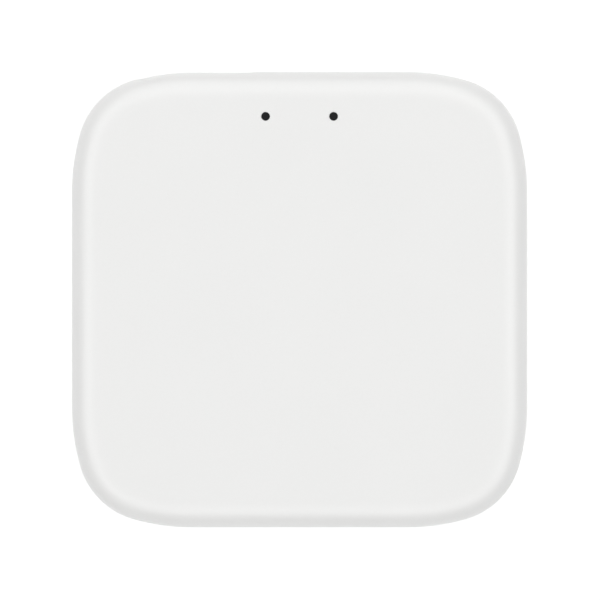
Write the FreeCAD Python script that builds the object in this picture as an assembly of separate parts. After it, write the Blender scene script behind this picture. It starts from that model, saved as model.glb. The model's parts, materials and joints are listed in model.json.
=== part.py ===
"""A compact square smart home hub: a soft-cornered puck that links low-power radio devices to a home network.

Frame: millimetres, +Z up. The origin is the centre of the footprint, on the surface that the rubber feet stand on.
+Y is the rear, with the Ethernet jack and the USB-C power inlet. +X is the right side, with the reset button.

The hub comes apart from below. Four corner screws hold a shallow base to a deep top cover, whose edge drops over the
base's tongue. The circuit board is screwed to the base, so both ports leave through notches that are open at the
cover's lower edge. Two light pipes carry the status lamps' light up to the top face.
"""

import FreeCAD
import Part

import math
import os

from FreeCAD import Vector

# ---------------------------------------------------------------------------------------------------------------
# Overall sizes
WIDTH = 65.0
DEPTH = 65.0
HEIGHT = 20.0

# Plan outline: straight sides that ease into each corner through a long arc, a tight arc and a long arc
EASE_RADIUS = 30.95
EASE_ANGLE = math.radians(15.8)
CORNER_RADIUS = 11.0

# Covers
WALL = 2.0
CEILING = 1.8
FLOOR = 1.6
RIM_RADIUS = 4.0
BASE_EDGE_RADIUS = 2.0
PARTING_GAP = 0.3
TONGUE_HEIGHT = 1.2
TONGUE_WALL = 0.9
TONGUE_CLEARANCE = 0.1
SPLIT_BELOW_BOARD = 0.2

# Feet, label and vents under the base
FOOT_RADIUS = 4.0
FOOT_PROUD = 0.7
FOOT_SUNK = 0.7
FOOT_EDGE_RADIUS = 0.3
FOOT_INSET_X = 14.0
FOOT_INSET_Y = 12.0
LABEL_WIDTH = 32.0
LABEL_DEPTH = 20.0
LABEL_THICKNESS = 0.15
LABEL_CORNER_RADIUS = 1.5
VENT_COUNT = 7
VENT_PITCH = 3.2
VENT_WIDTH = 1.4
VENT_LENGTH = 7.0
VENT_Y = 19.5

# Screws and the bosses that they go into
BOSS_INSET_X = 6.7
BOSS_INSET_Y = 8.5
BOSS_RADIUS = 2.3
BOSS_WEB = 1.2
WEB_REACH = 4.0
ROOT = 0.2
PAD_RADIUS = 3.4
PAD_HEIGHT = 1.6
SCREW_RADIUS = 1.0
SCREW_LENGTH = 8.0
SCREW_HEAD_RADIUS = 1.9
SCREW_HEAD_HEIGHT = 1.2
SCREW_SHAFT_CLEARANCE = 0.2
SCREW_HEAD_CLEARANCE = 0.25
PILOT_CLEARANCE = 0.02
PILOT_SPARE = 0.6
COUNTERBORE = 1.9
DRIVE_WIDTH = 0.5
DRIVE_DEPTH = 0.7

# Circuit board and how it is held
BOARD_THICKNESS = 1.2
BOARD_GAP = 0.6
BOARD_BOSS_GAP = 0.5
STANDOFF_HEIGHT = 2.2
STANDOFF_RADIUS = 2.2
BOARD_HOLE_INSET = 6.9
BOARD_HOLE_Y = 10.0
BOARD_SCREW_RADIUS = 0.85
BOARD_SCREW_LENGTH = 4.0
BOARD_HOLE_CLEARANCE = 0.25
LOCATING_PIN_SHORT = 0.2
PIN_HOLE_CLEARANCE = 0.1

# Ports
PORT_GAP = 0.4
PORT_SUNK = 0.15
JACK_WIDTH = 16.0
JACK_HEIGHT = 11.5
JACK_LENGTH = 15.6
JACK_NOTCH_GAP = 0.2
SHIELD_SHEET = 0.25
SHIELD_FIT = 0.05
SHIELD_LIP = 1.6
SHIELD_LEG_SETBACK = 4.7
PLUG_WIDTH = 11.9
PLUG_HEIGHT = 6.7
PLUG_DEPTH = 12.4
PLUG_SILL = 3.2
LATCH_SLOTS = ((6.4, 1.7), (4.0, 0.9))
CONTACT_COUNT = 8
CONTACT_PITCH = 1.02
CONTACT_WIRE = 0.35
CONTACT_DROOP = 1.9
CONTACT_ROW_STEP = 1.2
TAIL_SETBACK = 0.85
CONTACT_BEND = 2.6
SPRING_START = 2.2
SPRING_END = 9.8
GROOVE_GAP = 0.2
GROOVE_MOUTH = 2.0
PEG_LENGTH = 0.8
PEG_CLEARANCE = 0.1
PEG_RADIUS = 1.5
PEG_SPREAD = 5.7
PEG_SETBACK = 7.0
TAIL_LENGTH = 1.2
USB_WIDTH = 8.94
USB_HEIGHT = 3.26
USB_LENGTH = 7.35
USB_SHEET = 0.3
USB_INSET = 0.6
USB_SLOT_GAP = 0.25
USB_TONGUE_WIDTH = 6.69
USB_TONGUE_THICKNESS = 0.7
USB_TONGUE_SETBACK = 1.0
USB_BACK_BLOCK = 1.6
USB_CONTACTS = 12
USB_CONTACT_PITCH = 0.5
USB_CONTACT_WIDTH = 0.26
USB_CONTACT_THICKNESS = 0.06
USB_CONTACT_SETBACK = 0.4
USB_BACK_FIT = 0.02
USB_LEG = 0.9
USB_LEG_PLACES = (0.8, 4.3)

# Status lamps and their light pipes
LAMP_SPACING = 9.65
LAMP_INSET = 6.5
WINDOW_RADIUS = 0.565
PIPE_FIT = 0.015
PIPE_RADIUS = 1.1
PIPE_SUNK = 0.06
PIPE_AIR_GAP = 0.2
SLEEVE_CLEARANCE = 0.05
SLEEVE_WALL = 0.6
SLEEVE_LENGTH = 4.2
LAMP_LENGTH = 1.6
LAMP_WIDTH = 0.8
LAMP_BASE = 0.3
LAMP_LENS_RADIUS = 0.38
LAMP_HEIGHT = 0.75
SHROUD_DEPTH = 3.8
SHROUD_HEIGHT = 5.3
SHROUD_SIDE = 1.65
SHROUD_BORE_CLEARANCE = 0.2

# Reset button and its switch
BUTTON_RADIUS = 1.9
BUTTON_CLEARANCE = 0.1
BUTTON_SUNK = 0.15
BUTTON_DISH = 0.25
BUTTON_EDGE_RADIUS = 0.25
BUTTON_Y = 0.0
BUTTON_AXIS_OVER_BOARD = 4.2
FLANGE_RADIUS = 2.9
FLANGE_THICKNESS = 0.8
FLANGE_GAP = 0.02
BUTTON_TAIL_RADIUS = 1.4
BUTTON_TAIL = 0.5
SWITCH_SIZE = 6.0
SWITCH_DEPTH = 3.1
SWITCH_STANDOUT = 1.6
PLUNGER_RADIUS = 1.75
PLUNGER_FLANGE = 2.15
PLUNGER_CLEARANCE = 0.1
BRACKET_SHEET = 0.3
BRACKET_LEG = 1.2
DOME_RADIUS = 2.15
DOME_RISE = 0.55
DOME_SHEET = 0.1
SWITCH_BACK_WALL = 0.7
COLLAR_BACK = 0.75
COLLAR_FRONT = 0.1
PIN_RADIUS = 0.3
PIN_HOLE_RADIUS = 0.45

# Parts soldered to the board
PROCESSOR_SIZE = 12.0
PROCESSOR_HEIGHT = 0.9
MEMORY_SIZE = (8.0, 12.0, 1.0)
FLASH_SIZE = (5.2, 5.2, 1.8)
TRANSFORMER_SIZE = (12.7, 7.0, 5.6)
REGULATOR_SIZE = (2.9, 1.6, 1.1)
INDUCTOR_SIZE = (5.0, 5.0, 2.8)
CAN_RADIUS = 3.15
CAN_HEIGHT = 5.8
CAN_BASE = (6.6, 1.0)
CRYSTAL_SIZE = (3.2, 2.5, 0.8)
CHIP_LENGTH = 1.6
CHIP_WIDTH = 0.8
CHIP_END = 0.3
LEAD_SHEET = 0.15
LEAD_REACH = 1.1
LEAD_RISE = 0.5
LEAD_SHOULDER = 0.35
LEAD_HEEL = 0.55
LEG_SLOT = 0.8
USB_LEG_SLOT = 1.3
SLOT_GAP = 0.4
PACKAGE_BEVEL = 0.15
DIMPLE_RADIUS = 0.3
DIMPLE_DEPTH = 0.08
DIMPLE_INSET = 0.9
CAPACITOR_HEIGHT = 0.8
RESISTOR_HEIGHT = 0.45
CAP_THICKNESS = 0.03
INDUCTOR_CORNER = 0.9
INDUCTOR_BEVEL = 0.25
INDUCTOR_DISH = (1.5, 0.15)
CAN_ROUND = 0.4
CAN_GROOVE = (0.7, 1.1, 0.25)
CAN_BASE_CHAMFER = 1.2

# Radio modules: width, depth and where each one's centre is across the front of the board
ZIGBEE_MODULE = (12.0, 17.0, -14.0)
WIFI_MODULE = (16.0, 17.0, 10.0)
MODULE_THICKNESS = 0.8
MODULE_EDGE_GAP = 0.8
ANTENNA_DEPTH = 5.6
CAN_SHEET = 0.2
SHIELD_HEIGHT = 2.2
SHIELD_MARGIN = 0.9
CASTELLATION_RADIUS = 0.35
CASTELLATION_PITCH = 1.7
CASTELLATION_COUNT = 6
ANTENNA_TRACK = 0.6
ANTENNA_SHEET = 0.06
ANTENNA_FOLDS = 5
RADIO_CHIP_HEIGHT = 0.85
RADIO_CHIP_BEVEL = 0.12
CASTELLATION_START = 1.2
CAN_CORNER = 0.5
ZIGBEE_CHIP = 5.0
WIFI_CHIP = 6.0


def rear_y(x):
    """How far back the outline reaches at x, up to the end of a corner's tight arc."""
    step = EASE_RADIUS - CORNER_RADIUS
    corner_x = HALF_X - EASE_RADIUS + step * math.cos(EASE_ANGLE)
    ease_x = corner_x - step * math.sin(EASE_ANGLE)
    across = abs(x) - ease_x
    if across <= 0:
        return HALF_Y
    if across <= EASE_RADIUS * math.sin(EASE_ANGLE):
        return HALF_Y - EASE_RADIUS + math.sqrt(EASE_RADIUS**2 - across**2)
    corner_y = HALF_Y - EASE_RADIUS + step * math.cos(EASE_ANGLE)
    return corner_y + math.sqrt(CORNER_RADIUS**2 - (abs(x) - corner_x) ** 2)


# ---------------------------------------------------------------------------------------------------------------
# Levels and places that follow from the sizes above
HALF_X = WIDTH / 2
HALF_Y = DEPTH / 2
BASE_BOTTOM = FOOT_PROUD
FLOOR_TOP = BASE_BOTTOM + FLOOR
BOARD_BOTTOM = FLOOR_TOP + STANDOFF_HEIGHT
BOARD_TOP = BOARD_BOTTOM + BOARD_THICKNESS
SPLIT_Z = BOARD_TOP - SPLIT_BELOW_BOARD
COVER_BOTTOM = SPLIT_Z + PARTING_GAP
TONGUE_TOP = SPLIT_Z + TONGUE_HEIGHT
CEILING_Z = HEIGHT - CEILING
BOSS_X = HALF_X - BOSS_INSET_X
BOSS_Y = HALF_Y - BOSS_INSET_Y
PAD_TOP = FLOOR_TOP + PAD_HEIGHT
BOARD_INSET = WALL + BOARD_GAP
BOARD_HOLE_X = HALF_X - BOARD_HOLE_INSET
LAMP_Y = HALF_Y - LAMP_INSET
LAMP_X = LAMP_SPACING / 2
LAMP_XS = (-LAMP_X, LAMP_X)
JACK_X = -(LAMP_X + SHROUD_SIDE + PORT_GAP + JACK_WIDTH / 2)
JACK_FACE = rear_y(abs(JACK_X) + JACK_WIDTH / 2) - PORT_SUNK
JACK_BACK = JACK_FACE - JACK_LENGTH
USB_X = -JACK_X
USB_FACE = HALF_Y - USB_INSET
USB_BACK = USB_FACE - USB_LENGTH
USB_Z = BOARD_TOP + USB_HEIGHT / 2
BUTTON_Z = BOARD_TOP + BUTTON_AXIS_OVER_BOARD
INNER_WALL_X = HALF_X - WALL
BUTTON_TAIL_X = INNER_WALL_X - FLANGE_GAP - FLANGE_THICKNESS - BUTTON_TAIL
SWITCH_FRONT = BUTTON_TAIL_X - SWITCH_STANDOUT - BRACKET_SHEET
SWITCH_BACK = SWITCH_FRONT - SWITCH_DEPTH
DOME_BASE = SWITCH_BACK + SWITCH_BACK_WALL
CORNERS = tuple((sx, sy) for sx in (-1, 1) for sy in (-1, 1))
BOARD_FRONT = -(HALF_Y - BOARD_INSET)


# ---------------------------------------------------------------------------------------------------------------
# Shape helpers
def block(x0, x1, y0, y1, z0, z1):
    """A box between two values on each axis."""
    return Part.makeBox(x1 - x0, y1 - y0, z1 - z0, Vector(x0, y0, z0))


def centred_block(x, y, size_x, size_y, z0, z1):
    """A box centred on x and y."""
    return block(x - size_x / 2, x + size_x / 2, y - size_y / 2, y + size_y / 2, z0, z1)


def post(radius, x, y, z0, z1):
    """An upright cylinder."""
    return Part.makeCylinder(radius, z1 - z0, Vector(x, y, z0))


def rod(radius, x0, x1, y, z):
    """A cylinder lying along X."""
    return Part.makeCylinder(radius, x1 - x0, Vector(x0, y, z), Vector(1, 0, 0))


def joined(shapes):
    """One solid from shapes that overlap or touch."""
    shapes = list(shapes)
    return shapes[0].multiFuse(shapes[1:]).removeSplitter()


def group(shapes):
    """Separate solids kept in one node."""
    return Part.makeCompound([solid for shape in shapes for solid in shape.Solids])


def at_corners(inset_x, inset_y):
    """The four points at given distances in from the hub's sides."""
    return [(sx * (HALF_X - inset_x), sy * (HALF_Y - inset_y)) for sx, sy in CORNERS]


def polar(centre, radius, angle):
    """A point at a radius and an angle from a centre."""
    return centre[0] + radius * math.cos(angle), centre[1] + radius * math.sin(angle)


def outline(inset, z):
    """The plan outline moved in by inset, as edges that start at the middle of the right side."""
    ease = EASE_RADIUS - inset
    tight = CORNER_RADIUS - inset
    step = EASE_RADIUS - CORNER_RADIUS
    reach = EASE_RADIUS - step * math.cos(EASE_ANGLE)
    corner = (HALF_X - reach, HALF_Y - reach)
    side = (HALF_X - EASE_RADIUS, corner[1] - step * math.sin(EASE_ANGLE))
    rear = (corner[0] - step * math.sin(EASE_ANGLE), HALF_Y - EASE_RADIUS)
    quarter = math.pi / 2
    spans = (
        (side, ease, 0.0, EASE_ANGLE),
        (corner, tight, EASE_ANGLE, quarter - EASE_ANGLE),
        (rear, ease, quarter - EASE_ANGLE, quarter),
    )
    arcs = [[polar(c, r, a0 + (a1 - a0) * t) for t in (0, 0.5, 1)] for c, r, a0, a1 in spans]
    start = Vector(HALF_X - inset, 0, z)
    edges = []
    last = start
    for sx, sy in ((1, 1), (-1, 1), (-1, -1), (1, -1)):
        turn = arcs if sx * sy > 0 else [arc[::-1] for arc in arcs[::-1]]
        for arc in turn:
            points = [Vector(sx * x, sy * y, z) for x, y in arc]
            if (points[0] - last).Length > 1e-6:
                edges.append(Part.LineSegment(last, points[0]).toShape())
            edges.append(Part.Arc(*points).toShape())
            last = points[2]
    edges.append(Part.LineSegment(last, start).toShape())
    return edges


def slab(inset, z0, z1):
    """The plan outline, moved in by inset, as a solid from z0 to z1."""
    return Part.Face(Part.Wire(outline(inset, z0))).extrude(Vector(0, 0, z1 - z0))


def level_edges(shape, z):
    """The edges of a shape that lie flat at a height."""
    return [e for e in shape.Edges if abs(e.BoundBox.ZMin - z) < 1e-5 and abs(e.BoundBox.ZMax - z) < 1e-5]


def upright_edges(shape):
    """The straight edges of a shape that run up."""
    return [e for e in shape.Edges if e.BoundBox.XLength < 1e-5 and e.BoundBox.YLength < 1e-5]


def obround(width, height, x, z, y0, y1):
    """A bar along Y with flat top and bottom and half-round ends."""
    r = height / 2
    half = width / 2 - r
    bottom_left = Vector(x - half, y0, z - r)
    bottom_right = Vector(x + half, y0, z - r)
    top_right = Vector(x + half, y0, z + r)
    top_left = Vector(x - half, y0, z + r)
    edges = [
        Part.LineSegment(bottom_left, bottom_right).toShape(),
        Part.Arc(bottom_right, Vector(x + half + r, y0, z), top_right).toShape(),
        Part.LineSegment(top_right, top_left).toShape(),
        Part.Arc(top_left, Vector(x - half - r, y0, z), bottom_left).toShape(),
    ]
    return Part.Face(Part.Wire(edges)).extrude(Vector(0, y1 - y0, 0))


def strip_outline(points, thickness):
    """The closed outline of a bent strip whose middle line runs through points, with mitred bends."""
    sides = ([], [])
    for i, (u, v) in enumerate(points):
        normals = []
        for a, b in ((i - 1, i), (i, i + 1)):
            if 0 <= a and b < len(points):
                du = points[b][0] - points[a][0]
                dv = points[b][1] - points[a][1]
                length = math.hypot(du, dv)
                normals.append((-dv / length, du / length))
        nu = sum(n[0] for n in normals) / len(normals)
        nv = sum(n[1] for n in normals) / len(normals)
        scale = thickness / 2 / (nu * nu + nv * nv)
        sides[0].append((u + nu * scale, v + nv * scale))
        sides[1].append((u - nu * scale, v - nv * scale))
    return sides[0] + sides[1][::-1]


def prism_along_x(outline_yz, x0, x1):
    """A solid with a closed (y, z) outline, from x0 to x1."""
    points = [Vector(x0, y, z) for y, z in outline_yz]
    return Part.Face(Part.makePolygon(points + points[:1])).extrude(Vector(x1 - x0, 0, 0))


# ---------------------------------------------------------------------------------------------------------------
# Covers, feet, label and screws
def jack_notch():
    """The way out for the Ethernet jack, open at the cover's lower edge."""
    half = JACK_WIDTH / 2 + JACK_NOTCH_GAP
    top = BOARD_TOP + JACK_HEIGHT + JACK_NOTCH_GAP
    return block(JACK_X - half, JACK_X + half, JACK_FACE - 2 * WALL, HALF_Y + 1, SPLIT_Z, top)


def usb_notch():
    """The way out for the USB-C inlet: round at the top and open at the cover's lower edge."""
    width = USB_WIDTH + 2 * USB_SLOT_GAP
    height = USB_HEIGHT + 2 * USB_SLOT_GAP
    y0 = HALF_Y - 2 * WALL
    y1 = HALF_Y + 1
    upper = obround(width, height, USB_X, USB_Z, y0, y1)
    lower = block(USB_X - width / 2, USB_X + width / 2, y0, y1, SPLIT_Z, USB_Z)
    return upper.common(slab(-1, SPLIT_Z, HEIGHT)).fuse(lower)


def boss_with_web(x, y):
    """A screw boss under the ceiling, tied to the corner by a thin web."""
    web = block(0, WEB_REACH, -BOSS_WEB / 2, BOSS_WEB / 2, TONGUE_TOP, CEILING_Z + ROOT)
    web.rotate(Vector(0, 0, 0), Vector(0, 0, 1), math.degrees(math.atan2(y, x)))
    web.translate(Vector(x, y, 0))
    return post(BOSS_RADIUS, x, y, PAD_TOP, CEILING_Z + ROOT).fuse(web)


def top_cover():
    """The deep cover: roof, side walls, screw bosses and the sleeves that hold the light pipes."""
    shell = slab(0, COVER_BOTTOM, HEIGHT)
    shell = shell.makeFillet(RIM_RADIUS, level_edges(shell, HEIGHT))
    hollow = slab(WALL, COVER_BOTTOM - 1, CEILING_Z)
    hollow = hollow.makeFillet(RIM_RADIUS - WALL, level_edges(hollow, CEILING_Z))
    rebate = slab(WALL - TONGUE_WALL - TONGUE_CLEARANCE, COVER_BOTTOM - 1, TONGUE_TOP)
    shell = shell.cut(hollow).cut(rebate)
    bosses = [boss_with_web(x, y) for x, y in at_corners(BOSS_INSET_X, BOSS_INSET_Y)]
    sleeve_radius = PIPE_RADIUS + SLEEVE_CLEARANCE + SLEEVE_WALL
    sleeve_bottom = CEILING_Z - SLEEVE_LENGTH
    sleeves = [post(sleeve_radius, x, LAMP_Y, sleeve_bottom, CEILING_Z + ROOT) for x in LAMP_XS]
    shell = joined([shell] + bosses + sleeves)
    cuts = [jack_notch(), usb_notch()]
    for x, y in at_corners(BOSS_INSET_X, BOSS_INSET_Y):
        depth = SCREW_LENGTH - (PAD_TOP - BASE_BOTTOM - COUNTERBORE) + PILOT_SPARE
        cuts.append(post(SCREW_RADIUS + PILOT_CLEARANCE, x, y, PAD_TOP - 1, PAD_TOP + depth))
    for x in LAMP_XS:
        cuts.append(post(PIPE_RADIUS + SLEEVE_CLEARANCE, x, LAMP_Y, sleeve_bottom - 1, CEILING_Z))
        cuts.append(post(WINDOW_RADIUS, x, LAMP_Y, CEILING_Z - 1, HEIGHT + 1))
    cuts.append(rod(BUTTON_RADIUS + BUTTON_CLEARANCE, INNER_WALL_X - 1, HALF_X + 1, BUTTON_Y, BUTTON_Z))
    return shell.cut(cuts).removeSplitter()


def vents():
    """Two rows of slots through the floor."""
    slots = []
    for row in (-1, 1):
        for i in range(VENT_COUNT):
            x = (i - (VENT_COUNT - 1) / 2) * VENT_PITCH
            slot = centred_block(x, row * VENT_Y, VENT_WIDTH, VENT_LENGTH, BASE_BOTTOM - 1, FLOOR_TOP + 1)
            slots.append(slot.makeFillet(VENT_WIDTH / 2 * 0.98, upright_edges(slot)))
    return slots


def label_blank(growth, z0, z1):
    """The label's rounded rectangle, grown by a clearance."""
    blank = centred_block(0, 0, LABEL_WIDTH + 2 * growth, LABEL_DEPTH + 2 * growth, z0, z1)
    return blank.makeFillet(LABEL_CORNER_RADIUS + growth, upright_edges(blank))


def board_points(kind):
    """Where the board is held: screws at one pair of opposite corners, locating pins at the other."""
    sign = 1 if kind == "screw" else -1
    return [(-BOARD_HOLE_X, -sign * BOARD_HOLE_Y), (BOARD_HOLE_X, sign * BOARD_HOLE_Y)]


def base_cover():
    """The shallow base: floor, low wall, tongue, board standoffs and pads for the case screws."""
    outer = slab(0, BASE_BOTTOM, SPLIT_Z)
    outer = outer.makeFillet(BASE_EDGE_RADIUS, level_edges(outer, BASE_BOTTOM))
    tray = outer.cut(slab(WALL, FLOOR_TOP, SPLIT_Z + 1))
    tongue = slab(WALL - TONGUE_WALL, SPLIT_Z - 1, TONGUE_TOP).cut(slab(WALL, SPLIT_Z - 2, TONGUE_TOP + 1))
    tongue = tongue.cut([jack_notch(), usb_notch()])
    parts = [tray, tongue]
    middle = BASE_BOTTOM + FLOOR / 2
    bosses = at_corners(BOSS_INSET_X, BOSS_INSET_Y)
    parts += [post(PAD_RADIUS, x, y, middle, PAD_TOP) for x, y in bosses]
    for kind in ("screw", "pin"):
        parts += [post(STANDOFF_RADIUS, x, y, middle, BOARD_BOTTOM) for x, y in board_points(kind)]
    pin_radius = BOARD_SCREW_RADIUS + BOARD_HOLE_CLEARANCE - PIN_HOLE_CLEARANCE
    for x, y in board_points("pin"):
        parts.append(post(pin_radius, x, y, BOARD_BOTTOM - 1, BOARD_TOP - LOCATING_PIN_SHORT))
    cuts = vents() + [label_blank(LABEL_THICKNESS, BASE_BOTTOM - 1, BASE_BOTTOM + LABEL_THICKNESS)]
    for x, y in at_corners(FOOT_INSET_X, FOOT_INSET_Y):
        cuts.append(post(FOOT_RADIUS + TONGUE_CLEARANCE, x, y, BASE_BOTTOM - 1, BASE_BOTTOM + FOOT_SUNK))
    head = SCREW_HEAD_RADIUS + SCREW_HEAD_CLEARANCE
    for x, y in bosses:
        cuts.append(post(head, x, y, BASE_BOTTOM - 1, BASE_BOTTOM + COUNTERBORE))
        cuts.append(post(SCREW_RADIUS + SCREW_SHAFT_CLEARANCE, x, y, BASE_BOTTOM, PAD_TOP + 1))
    for x, y in board_points("screw"):
        bottom = BOARD_TOP - BOARD_SCREW_LENGTH - PILOT_SPARE / 2
        cuts.append(post(BOARD_SCREW_RADIUS + PILOT_CLEARANCE, x, y, bottom, BOARD_BOTTOM + 1))
    return joined(parts).cut(cuts).removeSplitter()


def foot(sx, sy):
    """One rubber foot, pressed into its recess."""
    x = sx * (HALF_X - FOOT_INSET_X)
    y = sy * (HALF_Y - FOOT_INSET_Y)
    pad = post(FOOT_RADIUS, x, y, 0, FOOT_PROUD + FOOT_SUNK)
    return pad.makeFillet(FOOT_EDGE_RADIUS, level_edges(pad, 0))


def screw(x, y, seat, up, radius, length):
    """A pan-head screw with a cross recess. seat is the height of the face that its head bears on."""
    way = 1 if up else -1
    axis = Vector(0, 0, -way)
    head = Part.makeCylinder(SCREW_HEAD_RADIUS, SCREW_HEAD_HEIGHT, Vector(x, y, seat), axis)
    crown_z = seat - way * SCREW_HEAD_HEIGHT
    head = head.makeFillet(SCREW_HEAD_HEIGHT / 3, level_edges(head, crown_z))
    shaft = Part.makeCylinder(radius, length, Vector(x, y, seat), Vector(0, 0, way))
    low = min(crown_z, crown_z + way * DRIVE_DEPTH)
    high = max(crown_z, crown_z + way * DRIVE_DEPTH)
    arm = SCREW_HEAD_RADIUS * 1.1
    cross = centred_block(x, y, arm, DRIVE_WIDTH, low, high).fuse(centred_block(x, y, DRIVE_WIDTH, arm, low, high))
    return head.fuse(shaft).cut(cross)


def case_screws():
    """The four screws that hold the covers together, driven from below."""
    seat = BASE_BOTTOM + COUNTERBORE
    places = at_corners(BOSS_INSET_X, BOSS_INSET_Y)
    return group([screw(x, y, seat, True, SCREW_RADIUS, SCREW_LENGTH) for x, y in places])


def board_screws():
    """The two screws that hold the board down."""
    places = board_points("screw")
    return group([screw(x, y, BOARD_TOP, False, BOARD_SCREW_RADIUS, BOARD_SCREW_LENGTH) for x, y in places])


def rating_label():
    """A blank label, flush in its recess under the base."""
    return label_blank(0, BASE_BOTTOM, BASE_BOTTOM + LABEL_THICKNESS)


# ---------------------------------------------------------------------------------------------------------------
# Ethernet jack
def contact_x(index):
    """Where one of the jack's contacts is across its width."""
    return JACK_X + (index - (CONTACT_COUNT - 1) / 2) * CONTACT_PITCH


def tail_y(index):
    """Where a contact's tail goes down: two rows, turn about."""
    return JACK_BACK + TAIL_SETBACK + CONTACT_ROW_STEP * (index % 2)


def contact_route(index):
    """The fixed part of a contact's wire as (y, z): up the back wall and forward under the roof."""
    roof = BOARD_TOP + PLUG_SILL + PLUG_HEIGHT + CONTACT_WIRE
    bottom = BOARD_BOTTOM - TAIL_LENGTH
    return [(tail_y(index), bottom), (tail_y(index), roof), (JACK_FACE - CONTACT_BEND, roof)]


def contact_spring():
    """The free end of a contact's wire as (y, z): back and down into the plug's space."""
    ceiling = BOARD_TOP + PLUG_SILL + PLUG_HEIGHT
    return [(JACK_FACE - SPRING_START, ceiling - 0.1), (JACK_FACE - SPRING_END, ceiling - CONTACT_DROOP)]


def ethernet_jack_contacts():
    """Eight gilt spring wires, each with a tail through the board."""
    wires = []
    for i in range(CONTACT_COUNT):
        x = contact_x(i)
        route = strip_outline(contact_route(i) + contact_spring(), CONTACT_WIRE)
        wires.append(prism_along_x(route, x - CONTACT_WIRE / 2, x + CONTACT_WIRE / 2))
    return group(wires)


def ethernet_jack_housing():
    """The jack's moulded insert, with the plug's cavity, the latch's steps and a groove for each wire."""
    skin = SHIELD_SHEET + SHIELD_FIT
    half = JACK_WIDTH / 2 - skin
    front = JACK_FACE - skin
    body = block(JACK_X - half, JACK_X + half, JACK_BACK + skin, front, BOARD_TOP, BOARD_TOP + JACK_HEIGHT - skin)
    sill = BOARD_TOP + PLUG_SILL
    plug_back = JACK_FACE - PLUG_DEPTH
    middle = (plug_back + JACK_FACE) / 2
    cuts = [centred_block(JACK_X, middle, PLUG_WIDTH, PLUG_DEPTH, sill, sill + PLUG_HEIGHT)]
    for width, height in LATCH_SLOTS:
        cuts.append(centred_block(JACK_X, middle, width, PLUG_DEPTH, BOARD_TOP + height, sill + 1))
    groove = CONTACT_WIRE + GROOVE_GAP
    for i in range(CONTACT_COUNT):
        x0 = contact_x(i) - groove / 2
        x1 = contact_x(i) + groove / 2
        back, rise, bend = contact_route(i)
        mouth = (JACK_FACE - GROOVE_MOUTH, bend[1])
        cuts.append(prism_along_x(strip_outline([back, rise, mouth], groove), x0, x1))
        y0 = bend[0] - GROOVE_GAP * 3
        cuts.append(block(x0, x1, y0, mouth[0] + groove / 2, sill + PLUG_HEIGHT - 1, mouth[1]))
    peg_bottom = BOARD_BOTTOM - PEG_LENGTH
    pegs = [post(PEG_RADIUS, x, peg_y(), peg_bottom, BOARD_TOP + 1) for x in peg_xs()]
    return joined([body.cut(cuts)] + pegs)


def peg_xs():
    """Where the jack's two locating pegs are across its width."""
    return JACK_X - PEG_SPREAD, JACK_X + PEG_SPREAD


def peg_y():
    """Where the jack's two locating pegs are along its length."""
    return JACK_BACK + PEG_SETBACK


def ethernet_jack_shield():
    """The folded tin-plate shield over the jack, with its mouth and two solder legs."""
    half = JACK_WIDTH / 2
    top = BOARD_TOP + JACK_HEIGHT
    outer = block(JACK_X - half, JACK_X + half, JACK_BACK, JACK_FACE, BOARD_TOP, top)
    t = SHIELD_SHEET
    inner = block(JACK_X - half + t, JACK_X + half - t, JACK_BACK + t, JACK_FACE - t, BOARD_TOP - 1, top - t)
    mouth_width = JACK_WIDTH - 2 * SHIELD_LIP
    mouth = centred_block(JACK_X, JACK_FACE, mouth_width, 2, BOARD_TOP - 1, top - SHIELD_LIP / 2)
    legs = []
    for side in (-1, 1):
        x = JACK_X + side * (half - t / 2)
        legs.append(centred_block(x, leg_y(), t, BRACKET_LEG, BOARD_BOTTOM - TAIL_LENGTH, BOARD_TOP + 1))
    return joined([outer.cut([inner, mouth])] + legs)


def leg_y():
    """Where the shield's solder legs are along its length."""
    return JACK_BACK + SHIELD_LEG_SETBACK


# ---------------------------------------------------------------------------------------------------------------
# USB-C power inlet
def usb_legs():
    """Where the inlet's four solder legs are."""
    x_reach = USB_WIDTH / 2 - USB_SHEET / 2
    return [(USB_X + side * x_reach, USB_BACK + y) for side in (-1, 1) for y in USB_LEG_PLACES]


def usb_port_shell():
    """The inlet's drawn steel shell and its legs."""
    outer = obround(USB_WIDTH, USB_HEIGHT, USB_X, USB_Z, USB_BACK, USB_FACE)
    walls = 2 * USB_SHEET
    bore = obround(USB_WIDTH - walls, USB_HEIGHT - walls, USB_X, USB_Z, USB_BACK - 1, USB_FACE + 1)
    bottom = BOARD_BOTTOM - TAIL_LENGTH / 2
    legs = [centred_block(x, y, USB_SHEET, USB_LEG, bottom, USB_Z) for x, y in usb_legs()]
    return joined([outer.cut(bore)] + [leg.cut(bore) for leg in legs])


def usb_port_insulator():
    """The block at the back of the inlet and the tongue that a plug slides over."""
    fit = 2 * (USB_SHEET + USB_BACK_FIT)
    back = obround(USB_WIDTH - fit, USB_HEIGHT - fit, USB_X, USB_Z, USB_BACK, USB_BACK + USB_BACK_BLOCK)
    half = USB_TONGUE_THICKNESS / 2
    y1 = USB_FACE - USB_TONGUE_SETBACK
    w = USB_TONGUE_WIDTH / 2
    tongue = block(USB_X - w, USB_X + w, USB_BACK + 1, y1, USB_Z - half, USB_Z + half)
    return joined([back, tongue])


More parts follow.
